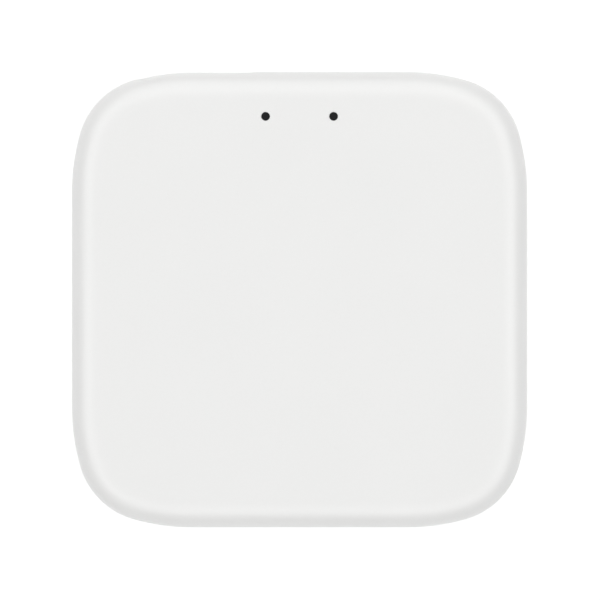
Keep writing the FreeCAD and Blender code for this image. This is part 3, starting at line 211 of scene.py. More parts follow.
# Each finish by the record's slot. The comment says what the finish gives the eye. A mould's grain, a rolling line
# or a filler's grain is about 0.05 to 0.1 mm, too fine to show, so each is drawn two to ten times as coarse. Glass
# cloth has a thread about every 0.5 mm, and is drawn at 0.7 and 0.9 mm.
FINISHES = {
    # White ABS from a finely spark-eroded mould: even, softly satin, with broad highlights
    "shell_white": Finish(
        "abs_white_satin", "#F1F1F0", "#EFEFEE", 0.3, 0.015, Pattern.MOULDED, 0.35, 0.001, ior=1.53
    ),
    # The same plastic in pale grey, a little duller than the shell
    "button_grey": Finish(
        "abs_grey_satin", "#C9CACA", "#C4C5C5", 0.36, 0.03, Pattern.MOULDED, 0.2, 0.002, ior=1.53
    ),
    # Soft rubber: dull, dark, with a faint bloom
    "foot_rubber": Finish("rubber_moulded", "#26272A", "#323336", 0.82, 0.06, Pattern.MOULDED, 0.3, 0.01, ior=1.52),
    # Zinc-plated steel: pale, with a slightly blue sheen
    "screw_steel": Finish(
        "zinc_plated_steel", "#B9BCC2", "#A3A6AC", 0.3, 0.08, Pattern.CRYSTALLINE, 0.35, 0.002, metallic=1.0
    ),
    # Polyester label film: flat, pale and dry
    "label_film": Finish(
        "polyester_film_matte", "#D6D8DA", "#CFD1D3", 0.55, 0.03, Pattern.MOULDED, 0.4, 0.001, ior=1.57
    ),
    # Green solder mask over glass cloth: glossy, with the weave just showing
    "board_green": Finish(
        "solder_mask_green", "#0E5B3A", "#0B4A2F", 0.28, 0.05, Pattern.WOVEN, 0.9, 0.004, ior=1.55
    ),
    # Dark blue solder mask on the radio modules
    "module_board": Finish(
        "solder_mask_blue", "#15305C", "#102649", 0.28, 0.05, Pattern.WOVEN, 0.7, 0.004, ior=1.55
    ),
    # Glass-filled nylon: black, slightly streaky
    "connector_black": Finish(
        "glass_filled_nylon_black", "#17181A", "#202124", 0.5, 0.08, Pattern.BRUSHED, 0.3, 0.003, ior=1.53
    ),
    # Bright tin plate over rolled steel or bronze: mirror-like with a soft bloom
    "connector_tin": Finish(
        "tin_plate_bright", "#CFCFCC", "#BDBDBA", 0.22, 0.06, Pattern.BRUSHED, 0.4, 0.002, metallic=1.0
    ),
    # Pressed nickel silver: warmer and duller than tin
    "shield_nickel": Finish(
        "nickel_silver_pressed", "#C2BFB6", "#B1AEA6", 0.32, 0.06, Pattern.BRUSHED, 0.5, 0.002, metallic=1.0
    ),
    # Gold flash over nickel: warm and bright
    "contact_gold": Finish(
        "gold_flash", "#E9C46A", "#DDB557", 0.2, 0.04, Pattern.BRUSHED, 0.2, 0.001, metallic=1.0
    ),
    # Matte tin on leads and end caps
    "solder_tin": Finish(
        "tin_matte", "#C6C7C8", "#B4B5B7", 0.38, 0.08, Pattern.CRYSTALLINE, 0.15, 0.002, metallic=1.0
    ),
    # Epoxy moulding compound: charcoal, fine and dull
    "chip_epoxy": Finish(
        "epoxy_moulding_compound", "#222326", "#2B2C2F", 0.62, 0.06, Pattern.MOULDED, 0.18, 0.004, ior=1.55
    ),
    # Pressed ferrite: dark grey with pores
    "ferrite_grey": Finish(
        "ferrite_pressed", "#3A3B3E", "#46474A", 0.7, 0.08, Pattern.CRYSTALLINE, 0.2, 0.008, ior=1.7
    ),
    # Drawn aluminium can: fine upright lines
    "can_aluminium": Finish(
        "aluminium_drawn", "#D4D6D9", "#C4C6C9", 0.28, 0.06, Pattern.DRAWN, 0.3, 0.002, metallic=1.0
    ),
    # Seam-welded lid of nickel-iron alloy on a crystal: pale warm metal
    "crystal_can": Finish(
        "nickel_iron_lid", "#CDC9BE", "#BDB9AF", 0.26, 0.05, Pattern.BRUSHED, 0.3, 0.001, metallic=1.0
    ),
    # Fired ceramic: tan and dull
    "ceramic_tan": Finish(
        "ceramic_fired", "#A98B66", "#9A7C58", 0.55, 0.06, Pattern.MOULDED, 0.12, 0.002, ior=1.65
    ),
    # Glazed resistor top: black and bright
    "resistor_black": Finish(
        "resistor_glaze", "#1A1B1D", "#232427", 0.2, 0.04, Pattern.MOULDED, 0.2, 0.001, ior=1.52
    ),
    # Smoked acrylic: near black with a clear gloss
    "pipe_smoke": Finish(
        "acrylic_smoked", "#141416", "#18181A", 0.16, 0.03, Pattern.MOULDED, 0.3, 0.0005, ior=1.49, coat=0.3
    ),
    # Milky cast epoxy over a yellow phosphor
    "lamp_lens": Finish(
        "epoxy_milky", "#EFE9C8", "#E8DFB0", 0.22, 0.03, Pattern.MOULDED, 0.2, 0.001, ior=1.51, coat=0.4
    ),
    # Silicone rubber: black and dull
    "shroud_silicone": Finish(
        "silicone_black", "#1C1D1F", "#232427", 0.7, 0.05, Pattern.MOULDED, 0.3, 0.004, ior=1.41
    ),
    # Spring steel dome: bright with rolling lines
    "dome_steel": Finish(
        "spring_steel", "#C4C4C2", "#B2B2B0", 0.2, 0.05, Pattern.BRUSHED, 0.3, 0.001, metallic=1.0
    ),
}


@dataclass
class Workshop:
    """Dresses pieces in their finishes and puts them on their bodies."""

    record: dict
    made: dict[str, bpy.types.Material] = field(default_factory=dict)

    def __post_init__(self) -> None:
        """Reads each node's slot from the record."""
        self.slots = {row["node"]: row["material_slot"] for row in self.record["subparts"]}

    def finish(self, slot: str) -> bpy.types.Material:
        """Gives a slot's material, which it makes once."""
        if slot not in self.made:
            self.made[slot] = FINISHES[slot].material()
        return self.made[slot]

    def dress(self, piece: Piece, slot: str) -> None:
        """Gives a piece the one material of a slot."""
        piece.data.materials.clear()
        piece.data.materials.append(self.finish(slot))

    def place(self, piece: Piece, slot: str, body: str, *nodes: str) -> None:
        """Finishes a new piece, which stands for CAD nodes.

        Args:
            piece: The piece, already in place.
            slot: The record's material slot.
            body: The CAD body that the piece rides on.
            *nodes: The CAD nodes that it stands for.
        """
        self.dress(piece, slot)
        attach(piece, body)
        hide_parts(*nodes)
        LOG.info("%s: %d faces, in place of %s", piece.name, len(piece.data.polygons), ", ".join(nodes))

    def ease(self, node: str, width: float, body: str = "hub") -> None:
        """Puts a piece of a CAD node's own shape, with its edges rounded over, in the node's place.

        Args:
            node: The CAD node.
            width: How wide the rounding is.
            body: The CAD body that the piece rides on.
        """
        self.place(eased(node, width), self.slots[node], body, node)

    def dress_frame(self, nodes: dict[str, Piece]) -> None:
        """Gives every CAD node the finish of its slot in the record.

        Args:
            nodes: The CAD nodes by name.
        """
        for node, slot in self.slots.items():
            self.dress(nodes[node], slot)
            LOG.info("%s: %s", node, self.finish(slot).name)


# ----------
# Mesh helpers
class Axis(Enum):
    """The axis that a piece is turned about, as its place in a point."""

    X = 0
    Z = 2


class Edit(Enum):
    """What a tool shape does to a piece."""

    JOIN = "UNION"
    CUT = "DIFFERENCE"


def shade(data: bpy.types.Mesh) -> None:
    """Shades a mesh smooth, except at its sharp edges."""
    data.shade_smooth()
    data.set_sharp_from_angle(angle=math.radians(SHARP_ANGLE))


def piece_from(name: str, mesh: Shape) -> Piece:
    """Makes an object of a bmesh, smooth except at sharp edges.

    Args:
        name: The piece's name.
        mesh: The bmesh, which is freed.

    Returns:
        The object, linked to the scene.
    """
    bmesh.ops.recalc_face_normals(mesh, faces=mesh.faces)
    data = bpy.data.meshes.new(name)
    mesh.to_mesh(data)
    mesh.free()
    shade(data)
    piece = bpy.data.objects.new(name, data)
    bpy.context.scene.collection.objects.link(piece)
    return piece


def loft(mesh: Shape, rings: Sequence[Ring]) -> None:
    """Joins closed rings of as many points each with quads, and closes both ends with a face.

    Args:
        mesh: The bmesh to add to.
        rings: The rings in order.
    """
    rows = [[mesh.verts.new(point) for point in ring] for ring in rings]
    count = len(rows[0])
    for low, high in zip(rows, rows[1:]):
        for i in range(count):
            j = (i + 1) % count
            mesh.faces.new((low[i], low[j], high[j], high[i]))
    mesh.faces.new(rows[0][::-1])
    mesh.faces.new(rows[-1])


def round_ring(centre: Vector, radius: float, count: int, axis: Axis = Axis.Z) -> Ring:
    """A ring of points on a circle.

    Args:
        centre: The circle's centre.
        radius: Its radius.
        count: How many points.
        axis: The axis that it turns about.

    Returns:
        The points.
    """
    first, second = (axis.value + 1) % 3, (axis.value + 2) % 3
    ring = []
    for i in range(count):
        turn = 2 * math.pi * i / count
        offset = Vector()
        offset[first], offset[second] = radius * math.cos(turn), radius * math.sin(turn)
        ring.append(centre + offset)
    return ring


def turned(name: str, profile: Sequence[Point], foot: Vector, axis: Axis = Axis.Z, count: int = 64) -> Piece:
    """A piece turned about an axis.

    Args:
        name: The piece's name.
        profile: (radius, distance along the axis) from one end to the other, with both ends closed by a face.
        foot: The point on the axis that the distances are from.
        axis: The axis.
        count: How many points go round.

    Returns:
        The piece.
    """
    mesh = bmesh.new()
    along = Vector()
    along[axis.value] = 1
    loft(mesh, [round_ring(foot + along * distance, radius, count, axis) for radius, distance in profile])
    return piece_from(name, mesh)


def rounding(radius: float, steps: int = 5) -> list[Point]:
    """The quarter circle of a rounded edge, as (in from one face, in from the other)."""
    angles = [math.pi / 2 * i / steps for i in range(steps + 1)]
    return [(radius * (1 - math.cos(a)), radius * (1 - math.sin(a))) for a in angles]


def edit(piece: Piece, change: Edit, tool: Shape) -> None:
    """Joins a closed tool shape to a piece, or cuts it out, for good.

    Args:
        piece: The piece, whose mesh is replaced.
        change: Whether the tool is joined or cut out.
        tool: The closed shape, which is freed.
    """
    cutter = piece_from("tool", tool)
    boolean = piece.modifiers.new("edit", "BOOLEAN")
    boolean.operation = change.value
    boolean.solver = "EXACT"
    boolean.object = cutter
    bpy.context.view_layer.update()
    graph = bpy.context.evaluated_depsgraph_get()
    made = bpy.data.meshes.new_from_object(piece.evaluated_get(graph), depsgraph=graph)
    piece.modifiers.clear()
    old = piece.data
    name = old.name
    piece.data = made
    bpy.data.meshes.remove(old)
    made.name = name
    bpy.data.objects.remove(cutter)


def smoothed(piece: Piece) -> Piece:
    """Cleans a piece after its edits and shades it smooth, with flat faces kept flat.

    Args:
        piece: The piece.

    Returns:
        The same piece.
    """
    mesh = bmesh.new()
    mesh.from_mesh(piece.data)
    bmesh.ops.remove_doubles(mesh, verts=mesh.verts, dist=MERGE_CUT)
    bmesh.ops.dissolve_degenerate(mesh, edges=mesh.edges, dist=MERGE_CUT)
    mesh.to_mesh(piece.data)
    mesh.free()
    shade(piece.data)
    weighted = piece.modifiers.new("weighted", "WEIGHTED_NORMAL")
    weighted.mode = "FACE_AREA"
    weighted.keep_sharp = True
    return piece


# ----------
# The plan outline
@dataclass(frozen=True)
class Outline:
    """The hub's plan: straight sides that ease into each corner through a long arc, a tight arc and a long arc."""

    half: float
    ease_radius: float = 30.95 * MM
    ease_angle: float = math.radians(15.8)
    corner_radius: float = 11.0 * MM
    side_steps: int = 8
    ease_steps: int = 8
    corner_steps: int = 26

    def centres(self) -> Point:
        """How far out the tight arc's centre is each way, and how far along its side the long arc starts."""
        step = self.ease_radius - self.corner_radius
        corner = self.half - self.ease_radius + step * math.cos(self.ease_angle)
        return corner, corner - step * math.sin(self.ease_angle)

    def eighth(self) -> list[tuple[Point, float]]:
        """Points and outward directions from the middle of the right side to the corner's diagonal."""
        corner, start = self.centres()
        ease = (self.half - self.ease_radius, start)
        points = [((self.half, ease[1] * i / self.side_steps), 0.0) for i in range(self.side_steps)]
        for i in range(self.ease_steps):
            a = self.ease_angle * i / self.ease_steps
            points.append(((ease[0] + self.ease_radius * math.cos(a), ease[1] + self.ease_radius * math.sin(a)), a))
        for i in range(self.corner_steps // 2 + 1):
            a = self.ease_angle + (math.pi / 2 - 2 * self.ease_angle) * i / self.corner_steps
            u, v = self.corner_radius * math.cos(a), self.corner_radius * math.sin(a)
            points.append(((corner + u, corner + v), a))
        return points

    def ring(self, inset: float, z: float) -> Ring:
        """The outline moved in by inset, at a height.

        Args:
            inset: How far in, along each point's own direction.
            z: The height.

        Returns:
            The points, anticlockwise seen from above.
        """
        eighth = self.eighth()
        quarter = eighth + [((y, x), math.pi / 2 - a) for (x, y), a in eighth[-2:0:-1]]
        ring = []
        for turn in range(4):
            c, s = math.cos(turn * math.pi / 2), math.sin(turn * math.pi / 2)
            for (x, y), a in quarter:
                u, v = x - inset * math.cos(a), y - inset * math.sin(a)
                ring.append(Vector((u * c - v * s, u * s + v * c, z)))
        return ring

    def rear(self, x: float, inset: float = 0.0) -> float:
        """How far back the outline reaches at x.

        Args:
            x: A place across, up to the end of the tight arc.
            inset: How far the outline is moved in.

        Returns:
            The outline's y there.
        """
        corner, start = self.centres()
        across = abs(x) - start
        ease = self.ease_radius - inset
        if across <= 0:
            return self.half - inset
        if across <= ease * math.sin(self.ease_angle):
            return self.half - self.ease_radius + math.sqrt(ease**2 - across**2)
        return corner + math.sqrt(max((self.corner_radius - inset) ** 2 - (abs(x) - corner) ** 2, 0.0))


# ----------
# Cut-outs with rounded edges
def panel(centre: Point, width: float, height: float, radius: float, steps: int = 6) -> Section:
    """A rectangle with round corners as a cut-out's section.

    Args:
        centre: Its middle.
        width: Its whole width.
        height: Its whole height.
        radius: Its corners' radius.
        steps: How many steps each corner takes.

    Returns:
        The points with their outward directions, anticlockwise.
    """
    points = []
    for turn, (sx, sy) in enumerate(((1, 1), (-1, 1), (-1, -1), (1, -1))):
        corner = (sx * (width / 2 - radius), sy * (height / 2 - radius))
        for i in range(steps + 1):
            a = math.pi / 2 * (turn + i / steps)
            c, s = math.cos(a), math.sin(a)
            points.append(((corner[0] + radius * c + centre[0], corner[1] + radius * s + centre[1]), (c, s)))
    return points


def disc(centre: Point, radius: float, count: int = 48) -> Section:
    """A circle as a cut-out's section."""
    ways = [(math.cos(2 * math.pi * i / count), math.sin(2 * math.pi * i / count)) for i in range(count)]
    return [((centre[0] + radius * c, centre[1] + radius * s), (c, s)) for c, s in ways]


@dataclass(frozen=True)
class CutOut:
    """A cut through a wall, whose edge at the wall's surface is rounded over.

    section is the cut's outline with its directions. to_space turns (across, up, out) into a point, and surface
    says how far out the wall is at (across, up). beyond is how far past that the cutting shape reaches.
    """

    section: Section
    to_space: Callable[[float, float, float], Vector]
    surface: Surface
    depth: float
    edge: float
    steps: int = 4
    beyond: float = 1.0 * MM

    def add_to(self, mesh: Shape) -> None:
        """Adds the cut's closed shape to a bmesh.

        Args:
            mesh: The bmesh.
        """
        furthest = max(self.surface(u, v) for (u, v), _ in self.section)
        rings = [[self.to_space(u, v, furthest - self.depth) for (u, v), _ in self.section]]
        for inward, sunk in rounding(self.edge, self.steps):
            ring = []
            for (u, v), (du, dv) in self.section:
                a, b = u + du * inward, v + dv * inward
                ring.append(self.to_space(a, b, self.surface(a, b) - sunk))
            rings.append(ring)
        wide = [(u + du * self.edge, v + dv * self.edge) for (u, v), (du, dv) in self.section]
        rings.append([self.to_space(u, v, furthest + self.beyond) for u, v in wide])
        loft(mesh, rings)


def upward(u: float, v: float, out: float) -> Vector:
    """On top, across is X, up is Y and out is Z."""
    return Vector((u, v, out))


def downward(u: float, v: float, out: float) -> Vector:
    """Underneath, across is X, up is Y and out is down."""
    return Vector((u, v, -out))


def rightward(u: float, v: float, out: float) -> Vector:
    """On the right side, across is Y, up is Z and out is X."""
    return Vector((out, u, v))


def rearward(u: float, v: float, out: float) -> Vector:
    """At the rear, across is X, up is Z and out is Y."""
    return Vector((u, out, v))


def level(height: float) -> Surface:
    """The surface of a flat wall, which is as far out all over."""
    return lambda across, up: height


def posts(places: Iterable[Point], radius: float, z0: float, z1: float) -> Shape:
    """Upright closed cylinders that don't touch, as one tool shape.

    Args:
        places: Their axes.
        radius: Their radius.
        z0: Their lower ends.
        z1: Their upper ends.

    Returns:
        A new bmesh.
    """
    mesh = bmesh.new()
    for x, y in places:
        loft(mesh, [round_ring(Vector((x, y, z)), radius, POST_POINTS) for z in (z0, z1)])
    return mesh


def cut_outs(cuts: Iterable[CutOut]) -> Shape:
    """Cut-outs that don't touch, as one tool shape."""
    mesh = bmesh.new()
    for cut in cuts:
        cut.add_to(mesh)
    return mesh


def eased(node: str, width: float) -> Piece:
    """A new piece of a CAD node's own shape, whose hard edges are rounded over as pressing and moulding leave them.

    Args:
        node: The CAD node.
        width: How wide the rounding is.

    Returns:
        The piece.
    """
    mesh = bmesh.new()
    mesh.from_mesh(bpy.data.objects[node].data)
    bmesh.ops.remove_doubles(mesh, verts=mesh.verts, dist=MERGE_NODE)
    bmesh.ops.dissolve_limit(mesh, angle_limit=math.radians(FLAT_ANGLE), verts=mesh.verts, edges=mesh.edges)
    piece = piece_from(node + "_finished", mesh)
    bevel = piece.modifiers.new("eased", "BEVEL")
    bevel.width = width
    bevel.segments = EASED_FACES
    bevel.limit_method = "ANGLE"
    bevel.angle_limit = math.radians(EASED_ANGLE)
    weighted = piece.modifiers.new("weighted", "WEIGHTED_NORMAL")
    weighted.keep_sharp = False
    return piece


def middle(node: str) -> Point:
    """A CAD node's middle, across and back."""
    low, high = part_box(node)
    return (low.x + high.x) / 2, (low.y + high.y) / 2


def left_middle(node: str) -> Vector:
    """The middle of a CAD node's left end."""
    low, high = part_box(node)
    return Vector((low.x, (low.y + high.y) / 2, (low.z + high.z) / 2))


# ----------
# Housing
@dataclass
class Housing:
    """The top cover, the base cover, the label, the feet and the case screws.

    The rim's section is flatter towards the roof than a circle, so the light rolls off slowly. Of the pairs,
    boss_inset, board_hole and vent_size are (across, back), foot_dish is (run, rise), and the others are
    (radius, depth or height).
    """

    shop: Workshop
    wall: float = 2.0 * MM
    ceiling: float = 1.8 * MM
    floor: float = 1.6 * MM
    rim_run: float = 4.3 * MM
    rim_drop: float = 3.4 * MM
    rim_power: float = 2.15
    rim_steps: int = 20
    closing_step: float = 0.6 * MM
    inner_round: float = 2.0 * MM
    base_round: float = 2.0 * MM
    parting_gap: float = 0.3 * MM
    parting_round: float = 0.18 * MM
    tongue_wall: float = 0.9 * MM
    tongue_height: float = 1.2 * MM
    skirt: float = 1.0 * MM
    sunk: float = 0.2 * MM
    edge_round: float = 0.2 * MM
    fine_round: float = 0.12 * MM
    overcut: float = 0.3 * MM
    clear: float = 1.0 * MM
    boss_radius: float = 2.3 * MM
    boss_inset: Point = (6.7 * MM, 8.5 * MM)
    boss_web: float = 1.2 * MM
    web_reach: float = 4.0 * MM
    pad_radius: float = 3.4 * MM
    pad_height: float = 1.6 * MM
    pilot_radius: float = 1.02 * MM
    pilot_depth: float = 7.0 * MM
    counterbore: Point = (2.15 * MM, 1.9 * MM)
    shaft_radius: float = 1.2 * MM
    standoff_radius: float = 2.2 * MM
    pin_radius: float = 1.0 * MM
    pin_short: float = 0.2 * MM
    board_thickness: float = 1.2 * MM
    board_pilot: Point = (0.87 * MM, 4.3 * MM)
    board_hole: Point = (6.9 * MM, 10.0 * MM)
    vent_size: Point = (1.4 * MM, 7.0 * MM)
    vent_pitch: float = 3.2 * MM
    vent_count: int = 7
    vent_y: float = 19.5 * MM
    vent_end: float = 0.98
    recess_gap: float = 0.15 * MM
    label_round: float = 1.65 * MM
    label_edge: float = 0.04 * MM
    screw_edge: float = 0.06 * MM
    foot_gap: float = 0.1 * MM
    foot_ridge: float = 0.9 * MM
    foot_dish: Point = (0.25 * MM, 0.1 * MM)
    foot_round: float = 0.3 * MM
    window_radius: float = 0.62 * MM
    window_round: float = 0.05 * MM
    sleeve: Point = (1.75 * MM, 4.2 * MM)
    sleeve_bore: float = 1.15 * MM
    button_gap: float = 0.1 * MM
    button_radius: float = 1.9 * MM
    button_depth: float = 3.0 * MM
    jack_gap: float = 0.2 * MM
    jack_round: float = 0.5 * MM
    inlet_gap: float = 0.25 * MM
    inlet_sheet: float = 0.32 * MM
    port_depth: float = 5.1 * MM
    port_below: float = 3.0 * MM

    def __post_init__(self) -> None:
        """Reads the places that the frame gives."""
        cover_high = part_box("top_cover")[1]
        self.base_low, self.base_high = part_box("base_cover")
        self.top = cover_high.z
        self.under = self.top - self.ceiling
        self.floor_top = self.base_low.z + self.floor
        self.split = self.base_high.z - self.tongue_height
        self.cover_bottom = self.split + self.parting_gap
        self.outline = Outline(cover_high.x)
        half = self.outline.half
        self.board_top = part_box("processor_chip")[0].z
        self.board_bottom = self.board_top - self.board_thickness
        self.bosses = self.mirrored(half - self.boss_inset[0], half - self.boss_inset[1])
        hole_x = half - self.board_hole[0]
        self.pins = [(-hole_x, self.board_hole[1]), (hole_x, -self.board_hole[1])]
        self.board_screws = [(-x, y) for x, y in self.pins]
        self.pipes = [middle(node) for node in PIPES]

    @staticmethod
    def mirrored(x: float, y: float) -> list[Point]:
        """The four places at x and y either side of the middle."""
        return [(sx * x, sy * y) for sx in (-1, 1) for sy in (-1, 1)]

    def rim(self) -> list[Point]:
        """The rim's section as (inset, height), from the wall up to the roof."""
        points = []
        for i in range(self.rim_steps + 1):
            a = math.pi / 2 * i / self.rim_steps
            along, up = math.cos(a) ** (2 / self.rim_power), math.sin(a) ** (2 / self.rim_power)
            points.append((self.rim_run * (1 - along), self.top - self.rim_drop * (1 - up)))
        return points

    def rim_inset(self, z: float) -> float:
        """How far in the cover's surface is at a height."""
        up = (z - self.top + self.rim_drop) / self.rim_drop
        if up <= 0:
            return 0.0
        return self.rim_run * (1 - (1 - min(up, 1.0) ** self.rim_power) ** (1 / self.rim_power))

    def shell(self, name: str, profile: Sequence[Point]) -> Piece:
        """The plan outline carried round a section.

        Args:
            name: The piece's name.
            profile: The section as (inset, height), closed across the middle at both ends.

        Returns:
            The closed shell.
        """
        mesh = bmesh.new()
        loft(mesh, [self.outline.ring(inset, z) for inset, z in profile])
        return piece_from(name, mesh)

    def webs(self) -> Shape:
        """The thin webs that tie the bosses to the corners."""
        mesh = bmesh.new()
        for x, y in self.bosses:
            along = Vector((x, y, 0)).normalized()
            side = Vector((-along.y, along.x, 0)) * (self.boss_web / 2)
            foot, end = Vector((x, y, 0)), Vector((x, y, 0)) + along * self.web_reach
            corners = (foot - side, end - side, end + side, foot + side)
            heights = (self.base_high.z, self.under + self.sunk)
            loft(mesh, [[c + Vector((0, 0, z)) for c in corners] for z in heights])
        return mesh

    def rear_surface(self, x: float, z: float) -> float:
        """How far back the cover's surface reaches at x and at a height."""
        return self.outline.rear(x, self.rim_inset(z))

    def port(self, node: str, gap: float, radius: float) -> CutOut:
        """A port's way out through the cover's rear wall, open at the parting line.

        Args:
            node: The CAD node of the port's shell.
            gap: The space left round the shell.
            radius: The radius of the upper corners.

        Returns:
            The cut-out, in place.
        """
        low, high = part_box(node)
        bottom = self.cover_bottom - self.port_below
        height = high.z + gap - bottom
        section = panel(((low.x + high.x) / 2, bottom + height / 2), high.x - low.x + 2 * gap, height, radius)
        return CutOut(section, rearward, self.rear_surface, self.port_depth, self.edge_round)

    def top_cover(self) -> None:
        """The deep cover with its roof, rim, bosses and sleeves, cut for the lamps, the ports and the button."""
        bottom = self.cover_bottom
        profile = [(self.rim_run + self.closing_step, self.top)] + self.rim()[::-1]
        profile += [(a, bottom + b) for a, b in rounding(self.parting_round)]
        profile += [(self.skirt, bottom), (self.skirt, self.base_high.z), (self.wall, self.base_high.z)]
        profile += [(self.wall + a, self.under - b) for a, b in rounding(self.inner_round, 8)]
        profile += [(self.wall + self.inner_round + self.closing_step, self.under)]
        cover = self.shell("top_cover_moulded", profile)
        pad_top = self.floor_top + self.pad_height
        sleeve_radius, sleeve_end = self.sleeve[0], self.under - self.sleeve[1]
        roots = self.under + self.sunk
        edit(cover, Edit.JOIN, posts(self.bosses, self.boss_radius, pad_top, roots))
        edit(cover, Edit.JOIN, posts(self.pipes, sleeve_radius, sleeve_end, roots))
        edit(cover, Edit.JOIN, self.webs())
        pilot_end = pad_top + self.pilot_depth
        edit(cover, Edit.CUT, posts(self.bosses, self.pilot_radius, pad_top - self.clear, pilot_end))
        edit(cover, Edit.CUT, posts(self.pipes, self.sleeve_bore, sleeve_end - self.clear, self.under))
        low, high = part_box("reset_button")
        axis = ((low.y + high.y) / 2, (low.z + high.z) / 2)
        hole = disc(axis, self.button_radius + self.button_gap)
        cuts = [
            self.port("ethernet_jack_shield", self.jack_gap, self.jack_round),
            self.port("usb_port_shell", self.inlet_gap, self.inlet_round()),
            CutOut(hole, rightward, level(self.outline.half), self.button_depth, self.edge_round),
        ]
        for place in self.pipes:
            window = disc(place, self.window_radius, count=32)
            cuts.append(CutOut(window, upward, level(self.top), self.ceiling + self.overcut, self.window_round))
        edit(cover, Edit.CUT, cut_outs(cuts))
        self.shop.place(smoothed(cover), "shell_white", "hub", "top_cover")

    def inlet_round(self) -> float:
        """The radius of the power inlet's way out: half the inlet's height and its gap."""
        low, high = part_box("usb_port_insulator")
        return (high.z - low.z) / 2 + self.inlet_sheet + self.inlet_gap

    def base_cover(self) -> None:
        """The shallow base with its tongue, pads, standoffs and pins, cut for vents, label, feet and screws."""
        low = self.base_low.z
        profile = [(self.base_round + self.closing_step, low)]
        profile += [(a, low + b) for a, b in rounding(self.base_round, 10)][::-1]
        profile += [(a, self.split - b) for a, b in rounding(self.parting_round)]
        start = self.wall - self.tongue_wall
        lead = self.fine_round
        tip = self.base_high.z
        profile += [(start, self.split), (start, tip - lead), (start + lead, tip), (self.wall, tip)]
        profile += [(self.wall, self.floor_top + lead), (self.wall + lead, self.floor_top)]
        profile += [(self.wall + self.closing_step, self.floor_top)]
        base = self.shell("base_cover_moulded", profile)
        root = low + self.floor / 2
        edit(base, Edit.JOIN, posts(self.bosses, self.pad_radius, root, self.floor_top + self.pad_height))
        holders = self.pins + self.board_screws
        edit(base, Edit.JOIN, posts(holders, self.standoff_radius, root, self.board_bottom))
        pin_foot, pin_top = self.board_bottom - self.clear, self.board_top - self.pin_short
        edit(base, Edit.JOIN, posts(self.pins, self.pin_radius, pin_foot, pin_top))
        edit(base, Edit.CUT, cut_outs(self.base_cuts()))
        shaft_foot = low + self.counterbore[1] - self.overcut
        edit(base, Edit.CUT, posts(self.bosses, self.shaft_radius, shaft_foot, self.board_top))
        radius, depth = self.board_pilot
        edit(base, Edit.CUT, posts(self.board_screws, radius, self.board_top - depth, self.board_top))
        edit(base, Edit.CUT, self.tongue_gaps())
        self.shop.place(smoothed(base), "shell_white", "hub", "base_cover")

    def base_cuts(self) -> list[CutOut]:
        """The cuts into the underside: the vents, the counterbores, the feet's recesses and the label's."""
        low = self.base_low.z
        under = level(-low)
        cuts = []
        for row in (-1, 1):
            for i in range(self.vent_count):
                x = (i - (self.vent_count - 1) / 2) * self.vent_pitch
                vent = panel((x, row * self.vent_y), *self.vent_size, self.vent_size[0] / 2 * self.vent_end)
                cuts.append(CutOut(vent, downward, under, self.floor + self.overcut, self.fine_round))
        for place in self.bosses:
            hole = disc(place, self.counterbore[0])
            cuts.append(CutOut(hole, downward, under, self.counterbore[1], self.fine_round))
        for node in FEET:
            foot_low, foot_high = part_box(node)
            hole = disc(middle(node), (foot_high.x - foot_low.x) / 2 + self.foot_gap, count=64)
            cuts.append(CutOut(hole, downward, under, foot_high.z - low, self.fine_round))
        label_low, label_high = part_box("rating_label")
        size = [label_high[i] - label_low[i] + 2 * self.recess_gap for i in (0, 1)]
        recess = panel((0, 0), *size, self.label_round)
        cuts.append(CutOut(recess, downward, under, label_high.z - low, self.fine_round / 2))
        return cuts

    def tongue_gaps(self) -> Shape:
        """The gaps in the tongue where the ports pass over it."""
        mesh = bmesh.new()
        for node, gap in (("ethernet_jack_shield", self.jack_gap), ("usb_port_shell", self.inlet_gap)):
            low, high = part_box(node)
            x0, x1 = low.x - gap, high.x + gap
            y0, y1 = self.outline.half - self.port_depth, self.outline.half + self.clear
            corners = ((x0, y0), (x1, y0), (x1, y1), (x0, y1))
            heights = (self.split, self.base_high.z + self.clear)
            loft(mesh, [[Vector((x, y, z)) for x, y in corners] for z in heights])
        return mesh

    def feet(self) -> None:
        """The four rubber feet, each with a rounded edge and a shallow dished face."""
        run, rise = self.foot_dish
        for node in FEET:
            low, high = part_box(node)
            radius = (high.x - low.x) / 2
            profile = [(radius - self.foot_ridge - run, low.z + rise), (radius - self.foot_ridge, low.z)]
            profile += [(radius - a, low.z + b) for a, b in rounding(self.foot_round)[::-1]]
            profile += [(radius, high.z)]
            foot = turned(node + "_moulded", profile, Vector((*middle(node), 0)), count=96)
            self.shop.place(foot, "foot_rubber", "hub", node)

    def build(self) -> None:
        """Makes all of it."""
        self.top_cover()
        self.base_cover()
        self.feet()
        self.shop.ease("rating_label", self.label_edge)
        for node in ("case_screws", "board_screws"):
            self.shop.ease(node, self.screw_edge)


